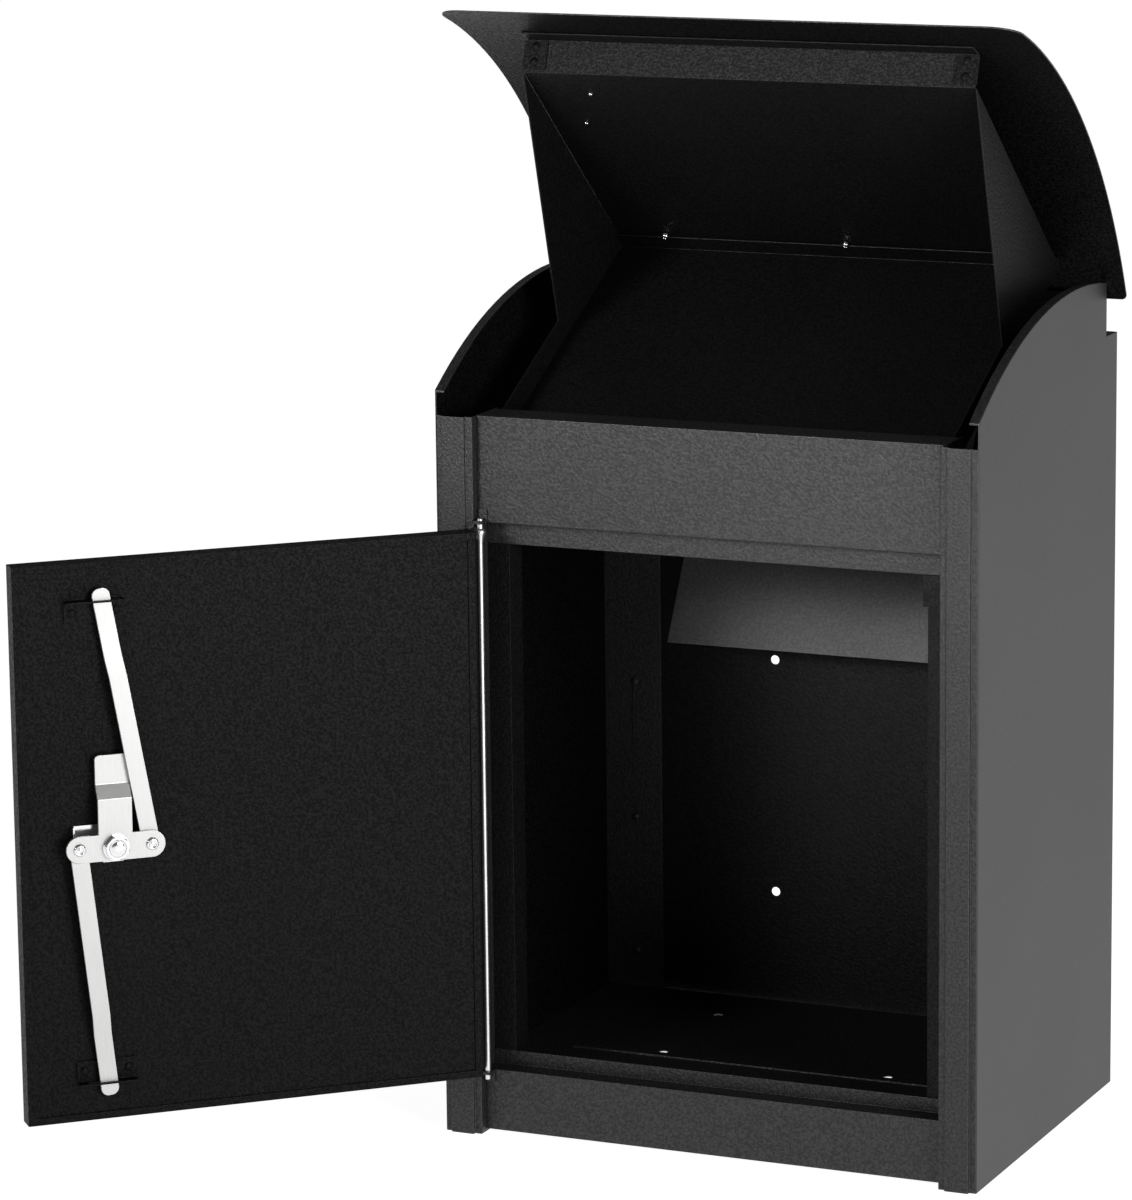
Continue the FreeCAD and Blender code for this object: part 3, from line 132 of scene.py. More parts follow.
# ---------------------------------------------------------------- settings
class CoatSettings(bpy.types.PropertyGroup):
    """The powder coat and the softness of the folded edges"""

    black: FloatVectorProperty(
        name="Coat colour", description="Colour of the cabinet's powder coat", subtype="COLOR",
        default=(0.0088, 0.0088, 0.0092), min=0.0, max=1.0)
    # Painted shade: the inside colour is darker than the outside coat, for the inside of the box and hopper,
    # the lid's underside and the door's back.
    inside: FloatVectorProperty(
        name="Inside colour", description="Colour of the coat inside the box and the hopper", subtype="COLOR",
        default=(0.0030, 0.0030, 0.0032), min=0.0, max=1.0)
    # Painted light: the baffle's colour is much lighter than the black coat, to show it lit.
    baffle: FloatVectorProperty(
        name="Baffle colour", description="Colour of the lighter coat on the rear baffle", subtype="COLOR",
        default=(0.078, 0.078, 0.079), min=0.0, max=1.0)
    grain: FloatProperty(
        name="Grain size", description="Width of one pebble of the textured coat",
        default=1.9 * MM, min=0.1 * MM, unit="LENGTH")
    relief: FloatProperty(
        name="Grain relief", description="Height of the pebbles", default=0.45 * MM, min=0.0, unit="LENGTH")
    gloss: FloatProperty(
        name="Roughness", description="Roughness of the satin coat", default=0.46, min=0.0, max=1.0)
    fold: FloatProperty(
        name="Fold radius", description="Radius of the sheets' folds and rolled edges",
        default=0.45 * MM, min=0.05 * MM, unit="LENGTH")
    metal_edge: FloatProperty(
        name="Metal edge", description="Radius of the eased edges on the lock's plates",
        default=0.30 * MM, min=0.05 * MM, unit="LENGTH")


class LockSettings(bpy.types.PropertyGroup):
    """Finishes and small sizes of the lock, the hinge rod and the fasteners"""

    steel: FloatVectorProperty(
        name="Brushed steel", description="Colour of the cam and the lock rods", subtype="COLOR",
        default=(0.55, 0.55, 0.545), min=0.0, max=1.0)
    chrome: FloatVectorProperty(
        name="Chrome", description="Colour of the plated lock pieces", subtype="COLOR",
        default=(0.80, 0.80, 0.81), min=0.0, max=1.0)
    zinc: FloatVectorProperty(
        name="Zinc", description="Colour of the hinge rod", subtype="COLOR",
        default=(0.78, 0.78, 0.78), min=0.0, max=1.0)
    nut_flats: FloatProperty(
        name="Nut size", description="Cam nut across its flats", default=14.7 * MM, unit="LENGTH")
    pin_head: FloatProperty(
        name="Pin head", description="Radius of the rolled pin heads", default=4.2 * MM, unit="LENGTH")
    rod_radius: FloatProperty(
        name="Hinge rod", description="Radius of the door's hinge rod", default=2.0 * MM, unit="LENGTH")
    screw_radius: FloatProperty(
        name="Hopper screw", description="Head radius of the hopper's seam screws",
        default=2.6 * MM, unit="LENGTH")
    screw_pitch: FloatProperty(
        name="Screw spacing", description="Distance between the hopper's seam screws",
        default=134.8 * MM, unit="LENGTH")
    screw_count: IntProperty(
        name="Seam screws", description="Number of screws along the hopper's seam", default=3, min=1)


class StudioSettings(bpy.types.PropertyGroup):
    """Camera place and studio light"""

    camera_place: FloatVectorProperty(
        name="Camera place", description="Where the camera stands", subtype="TRANSLATION",
        default=(1.3506, -3.3768, 1.1015))
    camera_yaw: FloatProperty(
        name="Camera yaw", description="Turn of the camera to the left of straight ahead",
        default=math.radians(24.10), subtype="ANGLE")
    camera_pitch: FloatProperty(
        name="Camera pitch", description="Tilt of the camera below level",
        default=math.radians(11.53), subtype="ANGLE")
    camera_roll: FloatProperty(
        name="Camera roll", description="Roll of the camera", default=math.radians(-0.66), subtype="ANGLE")
    lens: FloatProperty(name="Lens", description="Focal length in millimetres", default=163.35, min=10.0)
    key: FloatProperty(name="Key light", description="Power of the gridded key softbox", default=1.9, min=0.0)
    side: FloatProperty(name="Side light", description="Power of the right softbox", default=17.0, min=0.0)
    inner: FloatProperty(
        name="Inner light", description="Power of the light aimed into the box", default=0.055, min=0.0)
    sky: FloatProperty(name="Room light", description="Brightness of the dim room", default=0.13, min=0.0)
    floor_glow: FloatProperty(name="Floor", description="Brightness of the lit floor", default=0.93, min=0.0)


SETTINGS = {"dropbox_coat": CoatSettings, "dropbox_lock": LockSettings, "dropbox_studio": StudioSettings}


# ---------------------------------------------------------------- shader maths
class Wire:
    """An output socket; arithmetic on it adds Math nodes to its tree."""

    def __init__(self, graph, socket):
        self.graph = graph
        self.socket = socket

    def _math(self, operation, first, second):
        return self.graph.add("ShaderNodeMath", {"operation": operation}, {0: first, 1: second})

    def __add__(self, other):
        return self._math("ADD", self, other)

    def __sub__(self, other):
        return self._math("SUBTRACT", self, other)

    def __rsub__(self, other):
        return self._math("SUBTRACT", other, self)

    def __mul__(self, other):
        return self._math("MULTIPLY", self, other)


class Graph:
    """A material's node tree with its shader."""

    def __init__(self, name):
        self.material = bpy.data.materials.new(name)
        self.material.use_nodes = True
        self.tree = self.material.node_tree
        self.shader = self.tree.nodes["Principled BSDF"]

    def put(self, socket, value):
        if isinstance(value, Wire):
            self.tree.links.new(value.socket, socket)
        else:
            socket.default_value = value

    def add(self, kind, settings=None, inputs=None, out=0):
        """A node of that kind: its settings first, then its inputs by name, number or identifier."""
        node = self.tree.nodes.new(kind)
        for key, value in (settings or {}).items():
            setattr(node, key, value)
        for key, value in (inputs or {}).items():
            by_id = [s for s in node.inputs if s.identifier == key]
            self.put(by_id[0] if by_id else node.inputs[key], value)
        found = [s for s in node.outputs if s.identifier == out]
        return Wire(self, found[0] if found else node.outputs[out])

    def place(self, stretch=(1.0, 1.0, 1.0)):
        """Object coordinates, stretched along the axes."""
        spot = self.add("ShaderNodeTexCoord", out="Object")
        return self.add("ShaderNodeMapping", {}, {"Vector": spot, "Scale": stretch})

    def noise(self, vector, scale, detail, rough):
        """Cloud noise with that many lumps per metre."""
        return self.add("ShaderNodeTexNoise", {},
                        {"Vector": vector, "Scale": scale, "Detail": detail, "Roughness": rough})

    def ramp(self, value, start, end):
        """A clamped straight ramp from 0 at the start to 1 at the end."""
        return self.add("ShaderNodeMapRange", {}, {"Value": value, "From Min": start, "From Max": end})

    def blend(self, factor, dark, light):
        """A colour between two colours."""
        return self.add("ShaderNodeMix", {"data_type": "RGBA"},
                        {"Factor_Float": factor, "A_Color": dark, "B_Color": light}, "Result_Color")

    def fold_mark(self):
        """The mark that eased_sheet leaves on fold faces: 1 there, 0 elsewhere."""
        return self.add("ShaderNodeAttribute", {"attribute_name": "fold"}, {}, "Fac")

    def bump(self, height, distance, strength=1.0):
        """A normal from a height, whose full step is distance."""
        return self.add("ShaderNodeBump", {}, {"Strength": strength, "Distance": distance, "Height": height})

    def finish(self, **values):
        """Sets the shader's sockets, with spaces written as underscores."""
        for key, value in values.items():
            self.put(self.shader.inputs[key.replace("_", " ")], value)
        return self.material


def shade(colour, factor):
    """A colour made lighter or darker, opaque."""
    return tuple(min(1.0, c * factor) for c in colour) + (1.0,)


def powder_coat(name, colour, coat, gloss=0.0, relief=1.0, sheen=0.5, contrast=1.0, sides=False):
    """Textured satin powder coat: pebbles, cloudy film thickness, and smoother folds with a painted
    highlight, a lighter colour on them.

    With sides, the side panels' outer faces are smoother than their posts.
    """
    g = Graph(name)
    spot = g.place()
    pebble_scale = 1.0 / coat.grain
    pebbles = g.noise(spot, pebble_scale, detail=2.0, rough=0.6)
    fine = g.noise(spot, pebble_scale * FINE_GRAIN, detail=2.0, rough=0.55)
    cloud = g.noise(spot, CLOUD_SCALE, detail=3.0, rough=0.5)
    fold_highlight = g.fold_mark()
    speckle = g.ramp(pebbles, 0.40, 0.62)
    height = pebbles + fine * 0.35
    if sides:
        across = g.add("ShaderNodeSeparateXYZ", {}, {"Vector": spot}, "X")
        outward = g.add("ShaderNodeMath", {"operation": "ABSOLUTE"}, {0: across})
        outer = g.ramp(outward, CAD_SIDE - SKIN, CAD_SIDE - SKIN_FADE)
        speckle = speckle * (1.0 - outer * 0.9) + outer * 0.45
        height = height * (1.0 - outer * 0.9)
    tone = speckle * 0.80 + cloud * 0.24 - 0.10
    dark, light = shade(colour, 1.0 - 0.95 * contrast), shade(colour, 1.0 + 1.2 * contrast)
    # Painted highlight: the fold faces' colour is lightened. The lower roughness on them is a real finish.
    base = g.blend(tone + fold_highlight * 0.55, dark, light)
    rough = cloud * 0.05 - fold_highlight * 0.14 - speckle * 0.16 + (coat.gloss + gloss + 0.08)
    grain = g.bump(height, coat.relief * relief)
    return g.finish(Base_Color=base, Roughness=rough, Normal=grain, Specular_IOR_Level=sheen)


def brushed_metal(name, colour, stretch, rough=0.30):
    """Brushed plate: long fine streaks, faint handling marks, smoother folds."""
    g = Graph(name)
    streaks = g.noise(g.place(stretch), 1.0, detail=4.0, rough=0.65)
    marks = g.noise(g.place(), 70.0, detail=3.0, rough=0.6)
    base = g.blend(streaks * 0.7 + marks * 0.3, shade(colour, 0.80), shade(colour, 1.16))
    finish = streaks * 0.16 + marks * 0.10 + (rough - 0.12) - g.fold_mark() * 0.10
    return g.finish(Base_Color=base, Roughness=finish, Metallic=1.0,
                    Normal=g.bump(streaks, 0.02 * MM, 0.5))


def plated_metal(name, colour, rough=0.10):
    """Bright plating with slight mist and waviness."""
    g = Graph(name)
    mist = g.noise(g.place(), 260.0, detail=3.0, rough=0.6)
    wave = g.noise(g.place(), 120.0, detail=1.0, rough=0.4)
    base = g.blend(mist, shade(colour, 0.82), shade(colour, 1.08))
    return g.finish(Base_Color=base, Roughness=mist * 0.10 + rough, Metallic=1.0,
                    Normal=g.bump(wave, 0.03 * MM, 0.6))


MATERIALS = {}


def material(name, maker, *args, **extra):
    """One material of each name, made when it is first asked for."""
    if name not in MATERIALS:
        MATERIALS[name] = maker(name, *args, **extra)
    return MATERIALS[name]


def coat_for(node, coat):
    """The powder coat of a sheet: outside, the darker inside coat that paints the shade inside the box, its
    smoother kind, or the baffle's coat lightened to paint the light on it.
    """
    # Painted light: the baffle's coat is lightened to show light falling on it.
    if node == "rear_baffle":
        return material("coat_baffle", powder_coat, coat.baffle, coat,
                        gloss=0.02, relief=0.6, sheen=0.3, contrast=0.22)
    if node in ("side_panel_left", "side_panel_right"):
        return material("coat_sides", powder_coat, coat.black, coat, sides=True)
    # Painted shade: the pieces inside the box and the hopper, the door liner, the lid's underside and the lip
    # brackets get the darker inside colour.
    if node in ("back_panel", "hopper_back", "hopper_floor", "hopper_wing_left",
                "hopper_wing_right", "door_stop_left", "door_stop_right"):
        return material("coat_inside", powder_coat, coat.inside, coat, gloss=0.04, sheen=0.16)
    if node in ("door_liner", "lip_brackets", "inner_face"):
        return material("coat_smooth", powder_coat, coat.inside, coat, relief=0.7, sheen=0.08)
    return material("coat_outside", powder_coat, coat.black, coat)


# ---------------------------------------------------------------- mesh helpers
def new_piece(name, mesh, body, finish, replaces=()):
    """A mesh object at the origin that rides on a body."""
    piece = bpy.data.objects.new(name, mesh)
    bpy.context.scene.collection.objects.link(piece)
    piece.data.materials.clear()
    piece.data.materials.append(finish)
    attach(piece, body)
    if replaces:
        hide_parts(*replaces)
    return piece


def paint_node(node, finish):
    """Gives a CAD node its finish."""
    target = NODES[node]
    if not target.material_slots:
        target.data.materials.append(finish)
    for place in target.material_slots:
        place.material = finish


def eased_sheet(node, name, width, body, finish, steps=3):
    """A sheet's finished shape: facets merged, folds and cut edges rounded, its fold faces marked."""
    bm = bmesh.new()
    bm.from_mesh(NODES[node].data)
    fold = bm.faces.layers.float.new("fold")
    bmesh.ops.remove_doubles(bm, verts=bm.verts, dist=WELD)
    bmesh.ops.dissolve_limit(bm, angle_limit=FLAT, verts=bm.verts, edges=bm.edges)
    sharp = [e for e in bm.edges if e.is_manifold and e.calc_face_angle(0.0) > CREASE]
    made = bmesh.ops.bevel(bm, geom=sharp, offset=width, offset_type="OFFSET", segments=steps, profile=0.5,
                           affect="EDGES", clamp_overlap=False, loop_slide=True)
    for face in made["faces"]:
        face[fold] = 1.0
    mesh = bpy.data.meshes.new(name)
    bm.to_mesh(mesh)
    bm.free()
    mesh.shade_smooth()
    mesh.set_sharp_from_angle(angle=SHEET_SHARP)
    piece = new_piece(name, mesh, body, finish, (node,))
    even = piece.modifiers.new("even_normals", "WEIGHTED_NORMAL")
    even.keep_sharp = True
    even.weight = 100
    return piece


def faces_into_box(normal, centre):
    """True for a side panel's faces that look into the box, behind the front posts."""
    return normal.x * centre.x < 0 and abs(normal.x) > 0.7 and centre.y > POST_BACK


def faces_under_lid(normal, centre):
    """True for the lid's faces that look towards the axis of its curve."""
    hinge = Vector(JOINTS["lid_hinge"]["pos_m"])
    return normal.dot((centre - hinge - LID_AXIS).normalized()) < -0.7


def faces_behind_door(normal, centre):
    """True for the door's faces other than its front."""
    inward = Vector(JOINTS["lock_turn"]["axis"]).normalized()
    return normal.dot(inward) > -0.5


def coat_inner_faces(piece, coat, is_inner):
    """Gives the darker inside coat, painted shade, to the faces for which is_inner(normal, centre) holds."""
    piece.data.materials.append(coat_for("inner_face", coat))
    for face in piece.data.polygons:
        if is_inner(face.normal, face.center):
            face.material_index = 1


def lathe(name, outline, steps):
    """A closed turned shape about Z from its outline of (radius, height) points, poles closed."""
    bm = bmesh.new()
    rings = []
    for radius, height in outline:
        if radius < 1e-9:
            rings.append([bm.verts.new((0, 0, height))])
            continue
        angles = [2 * math.pi * k / steps for k in range(steps)]
        rings.append([bm.verts.new((radius * math.cos(a), radius * math.sin(a), height)) for a in angles])
    for lower, upper in zip(rings, rings[1:]):
        for k in range(steps):
            corners = [lower[k % len(lower)], lower[(k + 1) % len(lower)],
                       upper[(k + 1) % len(upper)], upper[k % len(upper)]]
            bm.faces.new(list(dict.fromkeys(corners)))
    for ring in (rings[0], rings[-1]):
        if len(ring) > 1:
            bm.faces.new(ring)
    bmesh.ops.recalc_face_normals(bm, faces=bm.faces)
    mesh = bpy.data.meshes.new(name)
    bm.to_mesh(mesh)
    bm.free()
    mesh.shade_smooth()
    mesh.set_sharp_from_angle(angle=TURNED_SHARP)
    return mesh


def stand(mesh, place, axis):
    """Moves a turned mesh from the origin to its place, with its Z along the axis."""
    turn = Vector((0, 0, 1)).rotation_difference(Vector(axis))
    mesh.transform(Matrix.Translation(Vector(place)) @ turn.to_matrix().to_4x4())
    return mesh


def reach(node, place, axis):
    """The lowest and highest distance of a node's points from a place, along an axis."""
    spans = [(vertex.co - place).dot(axis) for vertex in NODES[node].data.vertices]
    return min(spans), max(spans)


# ---------------------------------------------------------------- geometry nodes
def spread_tree():
    """Puts a head on each point, its Z along one direction: head, direction and finish are inputs."""
    tree = bpy.data.node_groups.new("spread_heads", "GeometryNodeTree")
    sockets = {}
    for name, kind in (("Points", "NodeSocketGeometry"), ("Head", "NodeSocketObject"),
                       ("Direction", "NodeSocketVector"), ("Finish", "NodeSocketMaterial")):
        sockets[name] = tree.interface.new_socket(name=name, in_out="INPUT", socket_type=kind).identifier
    tree.interface.new_socket(name="Heads", in_out="OUTPUT", socket_type="NodeSocketGeometry")
    new, link = tree.nodes.new, tree.links.new
    given, result = new("NodeGroupInput"), new("NodeGroupOutput")
    head = new("GeometryNodeObjectInfo")
    aim = new("FunctionNodeAlignRotationToVector")
    aim.axis = "Z"
    copies = new("GeometryNodeInstanceOnPoints")
    real = new("GeometryNodeRealizeInstances")
    coat = new("GeometryNodeSetMaterial")
    link(given.outputs["Head"], head.inputs["Object"])
    link(given.outputs["Direction"], aim.inputs["Vector"])
    link(given.outputs["Points"], copies.inputs["Points"])
    link(head.outputs["Geometry"], copies.inputs["Instance"])
    link(aim.outputs["Rotation"], copies.inputs["Rotation"])
    link(copies.outputs["Instances"], real.inputs["Geometry"])
    link(real.outputs["Geometry"], coat.inputs["Geometry"])
    link(given.outputs["Finish"], coat.inputs["Material"])
    link(coat.outputs["Geometry"], result.inputs["Heads"])
    return tree, sockets


def spread_heads(name, head_mesh, places, direction, body, finish):
    """Copies of a fastener head on the given places, made by Geometry Nodes into one plain mesh."""
    scene = bpy.context.scene
    points = bpy.data.meshes.new(name + "_points")
    points.from_pydata([tuple(p) for p in places], [], [])
    carrier = bpy.data.objects.new(name + "_carrier", points)
    head = bpy.data.objects.new(name + "_head", head_mesh)
    scene.collection.objects.link(carrier)
    scene.collection.objects.link(head)
    tree, sockets = spread_tree()
    spread = carrier.modifiers.new("spread", "NODES")
    spread.node_group = tree
    spread[sockets["Head"]] = head
    spread[sockets["Direction"]] = tuple(direction)
    spread[sockets["Finish"]] = finish
    bpy.context.view_layer.update()
    evaluated = carrier.evaluated_get(bpy.context.evaluated_depsgraph_get())
    mesh = bpy.data.meshes.new_from_object(evaluated)
    mesh.name = name
    bpy.data.objects.remove(carrier)
    bpy.data.objects.remove(head)
    bpy.data.node_groups.remove(tree)
    mesh.set_sharp_from_angle(angle=TURNED_SHARP)
    return new_piece(name, mesh, body, finish)


def pan_head(radius, height, recess=0.45):
    """Outline of a screw or rivet head with a rounded crown and a sunk centre."""
    shares = ((0.0, -0.3), (1.0, -0.3), (1.0, 0.25), (0.93, 0.62), (0.75, 0.88),
              (recess, 1.0), (recess * 0.8, 0.55), (0.0, 0.5))
    return [(radius * across, height * up) for across, up in shares]


# ---------------------------------------------------------------- operators
class DROPBOX_OT_cabinet(bpy.types.Operator):
    """Coats the cabinet's sheets and rounds their folds"""

    bl_idname = "dropbox.cabinet"
    bl_label = "Cabinet sheets"

    def execute(self, context):
        coat = context.scene.dropbox_coat
        for node in CABINET_SHEETS:
            fold = coat.fold * (0.5 if "stop" in node else 1.0)
            finish = coat_for(node, coat)
            piece = eased_sheet(node, node + "_coated", fold, "cabinet", finish)
            if "side_panel" in node:
                coat_inner_faces(piece, coat, faces_into_box)
        for node in BLACK_CAD:
            paint_node(node, coat_for(node, coat))
        zinc = material("zinc_pins", brushed_metal, context.scene.dropbox_lock.zinc, (60, 2500, 2500))
        paint_node("hinge_pins", zinc)
        return {"FINISHED"}


class DROPBOX_OT_lid(bpy.types.Operator):
    """Coats the lid and the hopper and rounds their folds"""

    bl_idname = "dropbox.lid"
    bl_label = "Lid and hopper"

    def execute(self, context):
        coat = context.scene.dropbox_coat
        for node in LID_SHEETS:
            finish = coat_for(node, coat)
            piece = eased_sheet(node, node + "_coated", coat.fold, "lid", finish)
            if node == "lid_shell":
                coat_inner_faces(piece, coat, faces_under_lid)
        return {"FINISHED"}


class DROPBOX_OT_door(bpy.types.Operator):
    """Coats the door pan, its liner and its hinge curl"""

    bl_idname = "dropbox.door"
    bl_label = "Door sheets"

    def execute(self, context):
        coat = context.scene.dropbox_coat
        for node in DOOR_SHEETS:
            piece = eased_sheet(node, node + "_coated", coat.fold, "door", coat_for(node, coat))
            if node != "door_liner":
                coat_inner_faces(piece, coat, faces_behind_door)
        for node in ("rod_guide_upper", "rod_guide_lower"):
            eased_sheet(node, node + "_eased", coat.metal_edge, "door",
                        coat_for("door_liner", coat), 2)
        return {"FINISHED"}


class DROPBOX_OT_hinge_rod(bpy.types.Operator):
    """Turns the long hinge rod with its drop-shaped head"""

    bl_idname = "dropbox.hinge_rod"
    bl_label = "Hinge rod"

    def execute(self, context):
        lock = context.scene.dropbox_lock
        low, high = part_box("hinge_rod")
        r, ball = lock.rod_radius, (high.x - low.x) / 2
        ball_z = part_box("door_skin")[1].z - BALL_DROP
        outline = [(0.0, low.z), (r * 0.8, low.z), (r, low.z + ROD_CHAMFER)]
        for k in range(13):
            share = k / 12.0
            outline.append((r + (ball - r) * share ** 1.7, ball_z - DROP_LENGTH * ball * (1.0 - share)))
        for k in range(1, 8):
            a = math.radians(8.0 * k)
            outline.append((max(r, ball * math.cos(a)), ball_z + ball * math.sin(a)))
        outline += [(r, high.z - ROD_CHAMFER), (r * 0.8, high.z), (0.0, high.z)]
        centre = ((low.x + high.x) / 2, (low.y + high.y) / 2, 0.0)
        mesh = stand(lathe("hinge_rod_turned", outline, 40), centre, (0, 0, 1))
        finish = material("zinc_rod", brushed_metal, lock.zinc, (2500, 2500, 30), 0.34)
        new_piece("hinge_rod_turned", mesh, "door", finish, ("hinge_rod",))
        return {"FINISHED"}


class DROPBOX_OT_lock_plates(bpy.types.Operator):
    """Brushes the cam and the two lock rods"""

    bl_idname = "dropbox.lock_plates"
    bl_label = "Cam and rods"

    def execute(self, context):
        lock, coat = context.scene.dropbox_lock, context.scene.dropbox_coat
        along_rod = material("steel_rod", brushed_metal, lock.steel, (1900, 1900, 45), 0.50)
        plate = material("steel_cam", brushed_metal, lock.steel, (1500, 1500, 60), 0.48)
        for body, node in LOCK_SHEETS:
            finish = plate if node == "cam_plate" else along_rod
            eased_sheet(node, node + "_brushed", coat.metal_edge, body, finish)
        return {"FINISHED"}


class DROPBOX_OT_lock_turned(bpy.types.Operator):
    """Makes the lock's plated pieces: barrel, washer, stop, chamfered nut and rolled pins"""

    bl_idname = "dropbox.lock_turned"
    bl_label = "Lock nut and pins"

    def execute(self, context):
        lock = context.scene.dropbox_lock
        chrome = material("chrome", plated_metal, lock.chrome)
        for node in BRIGHT_CAD:
            paint_node(node, chrome)
        eased_sheet("cam_stop", "cam_stop_eased", STOP_EDGE, "door", chrome, 2)
        turn = JOINTS["lock_turn"]
        centre, axis = Vector(turn["pos_m"]), Vector(turn["axis"]).normalized()
        low, high = reach("cam_nut", centre, axis)
        nut = chamfered_nut("cam_nut_turned", lock.nut_flats / 2, high - low)
        nut = stand(nut, centre + axis * low, axis)
        new_piece("cam_nut_turned", nut, "lock_cam", chrome, ("cam_nut",))
        pins = {"rod_pin_upper": "upper_rod_pivot", "rod_pin_lower": "lower_rod_pivot"}
        for node, joint in pins.items():
            place = Vector(JOINTS[joint]["pos_m"])
            low, high = reach(node, place, axis)
            mesh = stand(lathe(node + "_rolled", rolled_pin(lock.pin_head, low, high), 40), place, axis)
            new_piece(node + "_rolled", mesh, "lock_cam", chrome, (node,))
        return {"FINISHED"}


def rolled_pin(head, low, high):
    """Outline of a pin whose open end is rolled over into a ring round a sunk centre.

    The ring's points are shares of the head's radius and millimetres below the top.
    """
    shank, crown = 3.0 * MM, 2.0 * MM
    ring = ((0.92, 0.45), (0.78, 0.08), (0.66, 0.0), (0.54, 0.25), (0.45, 0.95), (0.38, 1.0),
            (0.28, 0.35), (0.12, 0.15), (0.0, 0.12))
    return [(0.0, low), (head, low), (head, low + 0.9 * MM), (shank, low + 1.0 * MM), (shank, crown),
            (head * 0.97, crown + 0.1 * MM), (head, crown + 0.5 * MM),
            *((head * share, high - down * MM) for share, down in ring)]


def chamfered_nut(name, flats, height, steps=72):
    """A six-sided nut with both faces chamfered, closed by a domed stud end.

    Flats is half the size across the flats. Each level of the nut is a share of its height and a limit in
    corner radii; each level of the stud is a radius in flats and a share of the height.
    """
    corner = flats / math.cos(math.pi / 6)
    bm = bmesh.new()
    rings = []
    levels = ((0.0, 0.965), (0.06, 0.99), (0.14, 1.02), (0.74, 1.02),
              (0.84, 0.985), (0.92, 0.945), (1.0, 0.90))
    stud = ((0.72, 1.0), (0.70, 0.90), (0.66, 0.88), (0.64, 1.02), (0.55, 1.10), (0.36, 1.17), (0.16, 1.20))
    for share, limit in levels:
        ring = []
        for k in range(steps):
            a = 2 * math.pi * k / steps
            side = flats / math.cos((a + math.pi / 6) % (math.pi / 3) - math.pi / 6)
            radius = min(side, corner * limit)
            ring.append(bm.verts.new((radius * math.cos(a), radius * math.sin(a), share * height)))
        rings.append(ring)
    for share, up in stud:
        ring = []
        for k in range(steps):
            a = 2 * math.pi * k / steps
            ring.append(bm.verts.new((flats * share * math.cos(a), flats * share * math.sin(a), up * height)))
        rings.append(ring)
    for lower, upper in zip(rings, rings[1:]):
        for k in range(steps):
            bm.faces.new((lower[k], lower[(k + 1) % steps], upper[(k + 1) % steps], upper[k]))
    bm.faces.new(rings[0])
    bm.faces.new(rings[-1])
    bmesh.ops.recalc_face_normals(bm, faces=bm.faces)
    mesh = bpy.data.meshes.new(name)
    bm.to_mesh(mesh)
    bm.free()
    mesh.shade_smooth()
    mesh.set_sharp_from_angle(angle=NUT_SHARP)
    return mesh


class DROPBOX_OT_fasteners(bpy.types.Operator):
    """Sets the hopper's seam screws and small rivets, and paints the rivets of the lip and the rod guides"""

    bl_idname = "dropbox.fasteners"
    bl_label = "Screws and rivets"

    def execute(self, context):
        lock, coat = context.scene.dropbox_lock, context.scene.dropbox_coat
        chrome = material("chrome", plated_metal, lock.chrome)
        rise, facing, fold = hopper_lines()
        first = -(lock.screw_count - 1) / 2 * lock.screw_pitch + SEAM_SHIFT
        seam = [fold + rise * SEAM_UP + facing * SEAM_OUT + Vector((first + k * lock.screw_pitch, 0, 0))
                for k in range(lock.screw_count)]
        screw = lathe("seam_screw", pan_head(lock.screw_radius, SCREW_HEIGHT), 28)
        spread_heads("hopper_screws", screw, seam, facing, "lid", chrome)
        back = [fold + rise * along + facing * DOT_OUT + Vector((across, 0, 0))
                for along, across in DOT_PLACES]
        dome = lathe("small_rivet", pan_head(DOT_RADIUS, DOT_HEIGHT, 0.2), 20)
        steel = material("rivet_steel", plated_metal, lock.steel, 0.22)
        spread_heads("back_panel_dots", dome, back, facing, "lid", steel)
        paint_node("lip_rivets", coat_for("lip_brackets", coat))
        paint_node("guide_rivets", coat_for("door_liner", coat))
        return {"FINISHED"}


def hopper_lines():
    """The hopper back's rising direction, the direction it faces, and its fold at the middle."""
    rise = Vector((0, math.cos(HOPPER_RISE), math.sin(HOPPER_RISE)))
    facing = Vector((0, -rise.z, rise.y))
    return rise, facing, Vector(JOINTS["lid_hinge"]["pos_m"]) + HOPPER_FOLD


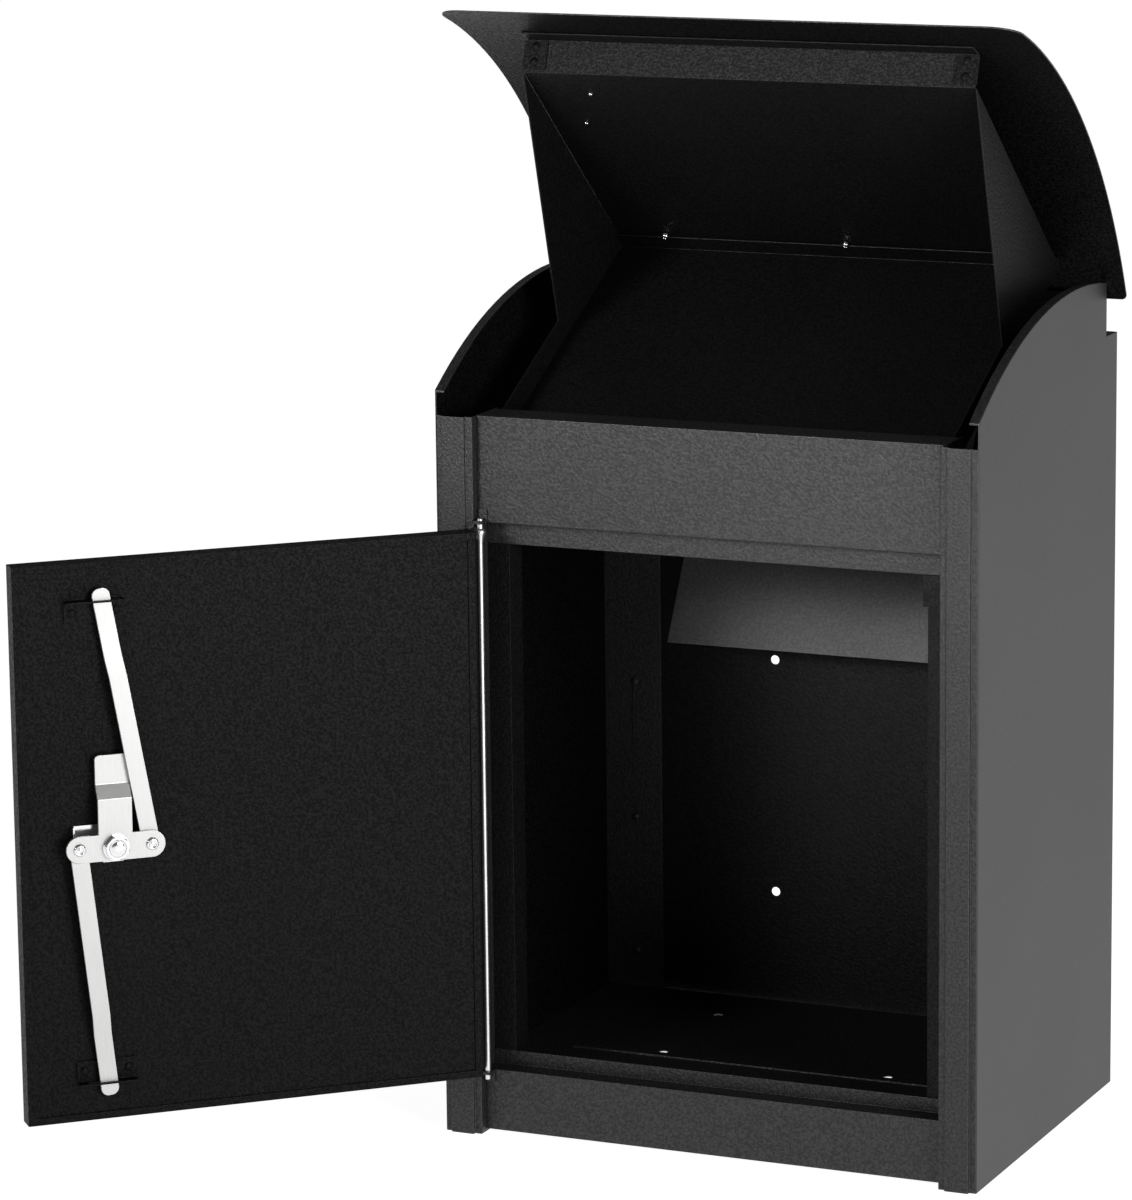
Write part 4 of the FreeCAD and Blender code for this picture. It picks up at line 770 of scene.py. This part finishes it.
class DROPBOX_OT_studio(bpy.types.Operator):
    """Sets the camera, the pale floor and the soft light"""

    bl_idname = "dropbox.studio"
    bl_label = "Studio"

    def execute(self, context):
        scene, studio = context.scene, context.scene.dropbox_studio
        lens = bpy.data.cameras.new("camera")
        lens.lens = studio.lens
        lens.sensor_width = SENSOR_WIDTH
        lens.clip_end = SIGHT_END
        camera = bpy.data.objects.new("camera", lens)
        scene.collection.objects.link(camera)
        turn = (Matrix.Rotation(studio.camera_yaw, 4, "Z")
                @ Matrix.Rotation(math.pi / 2 - studio.camera_pitch, 4, "X")
                @ Matrix.Rotation(studio.camera_roll, 4, "Z"))
        camera.matrix_world = Matrix.Translation(studio.camera_place) @ turn
        scene.camera = camera
        self.floor(studio.floor_glow)
        for name, place, target, size, power, spread in SOFTBOXES:
            softbox(scene, name, place, target, size, getattr(studio, power), spread)
        world = bpy.data.worlds.new("room")
        world.use_nodes = True
        sky = world.node_tree.nodes["Background"]
        sky.inputs["Color"].default_value = (1.0, 1.0, 1.0, 1.0)
        sky.inputs["Strength"].default_value = studio.sky
        scene.world = world
        scene.view_settings.view_transform = "Standard"
        return {"FINISHED"}

    def floor(self, glow):
        """A wide pale lit floor."""
        g = Graph("floor_pale")
        mottle = g.noise(g.place(), 1.5, detail=3.0, rough=0.5)
        pale = g.finish(Base_Color=g.blend(mottle, (0.60, 0.60, 0.60, 1.0), (0.66, 0.66, 0.66, 1.0)),
                        Roughness=0.9, Emission_Color=(1.0, 1.0, 1.0, 1.0), Emission_Strength=glow)
        far = FLOOR_REACH
        corners = [(-far, -far), (far, -far), (far, far), (-far, far)]
        flat_piece("studio_floor", corners, FLOOR_HEIGHT, pale)


def flat_piece(name, corners, height, finish):
    """A flat piece of the studio at a height."""
    mesh = bpy.data.meshes.new(name)
    mesh.from_pydata([(x, y, height) for x, y in corners], [], [list(range(len(corners)))])
    mesh.materials.append(finish)
    piece = bpy.data.objects.new(name, mesh)
    bpy.context.scene.collection.objects.link(piece)


def softbox(scene, name, place, target, size, power, spread):
    """A square area light with a grid of that spread, in degrees, that looks at a point."""
    light = bpy.data.lights.new(name, "AREA")
    light.energy = power
    light.size = size
    light.spread = math.radians(spread)
    box = bpy.data.objects.new(name, light)
    scene.collection.objects.link(box)
    way = Vector(target) - Vector(place)
    box.matrix_world = Matrix.Translation(place) @ way.to_track_quat("-Z", "Y").to_matrix().to_4x4()


class DROPBOX_PT_panel(bpy.types.Panel):
    """The drop box's steps and settings"""

    bl_label = "Drop box"
    bl_space_type = "VIEW_3D"
    bl_region_type = "UI"
    bl_category = "Drop box"

    def draw(self, context):
        for step in STEPS:
            self.layout.operator(step.bl_idname)
        for setting, group in SETTINGS.items():
            held = getattr(context.scene, setting)
            for name in group.__annotations__:
                self.layout.prop(held, name)


STEPS = (DROPBOX_OT_cabinet, DROPBOX_OT_lid, DROPBOX_OT_door, DROPBOX_OT_hinge_rod, DROPBOX_OT_lock_plates,
         DROPBOX_OT_lock_turned, DROPBOX_OT_fasteners, DROPBOX_OT_studio)


def register():
    for group in (*SETTINGS.values(), *STEPS, DROPBOX_PT_panel):
        bpy.utils.register_class(group)
    for name, group in SETTINGS.items():
        setattr(bpy.types.Scene, name, PointerProperty(type=group))


def unregister():
    for name in SETTINGS:
        delattr(bpy.types.Scene, name)
    for group in (DROPBOX_PT_panel, *reversed(STEPS), *SETTINGS.values()):
        bpy.utils.unregister_class(group)


def main():
    register()
    for step in STEPS:
        family, action = step.bl_idname.split(".")
        getattr(getattr(bpy.ops, family), action)()


if __name__ == "__main__":
    main()
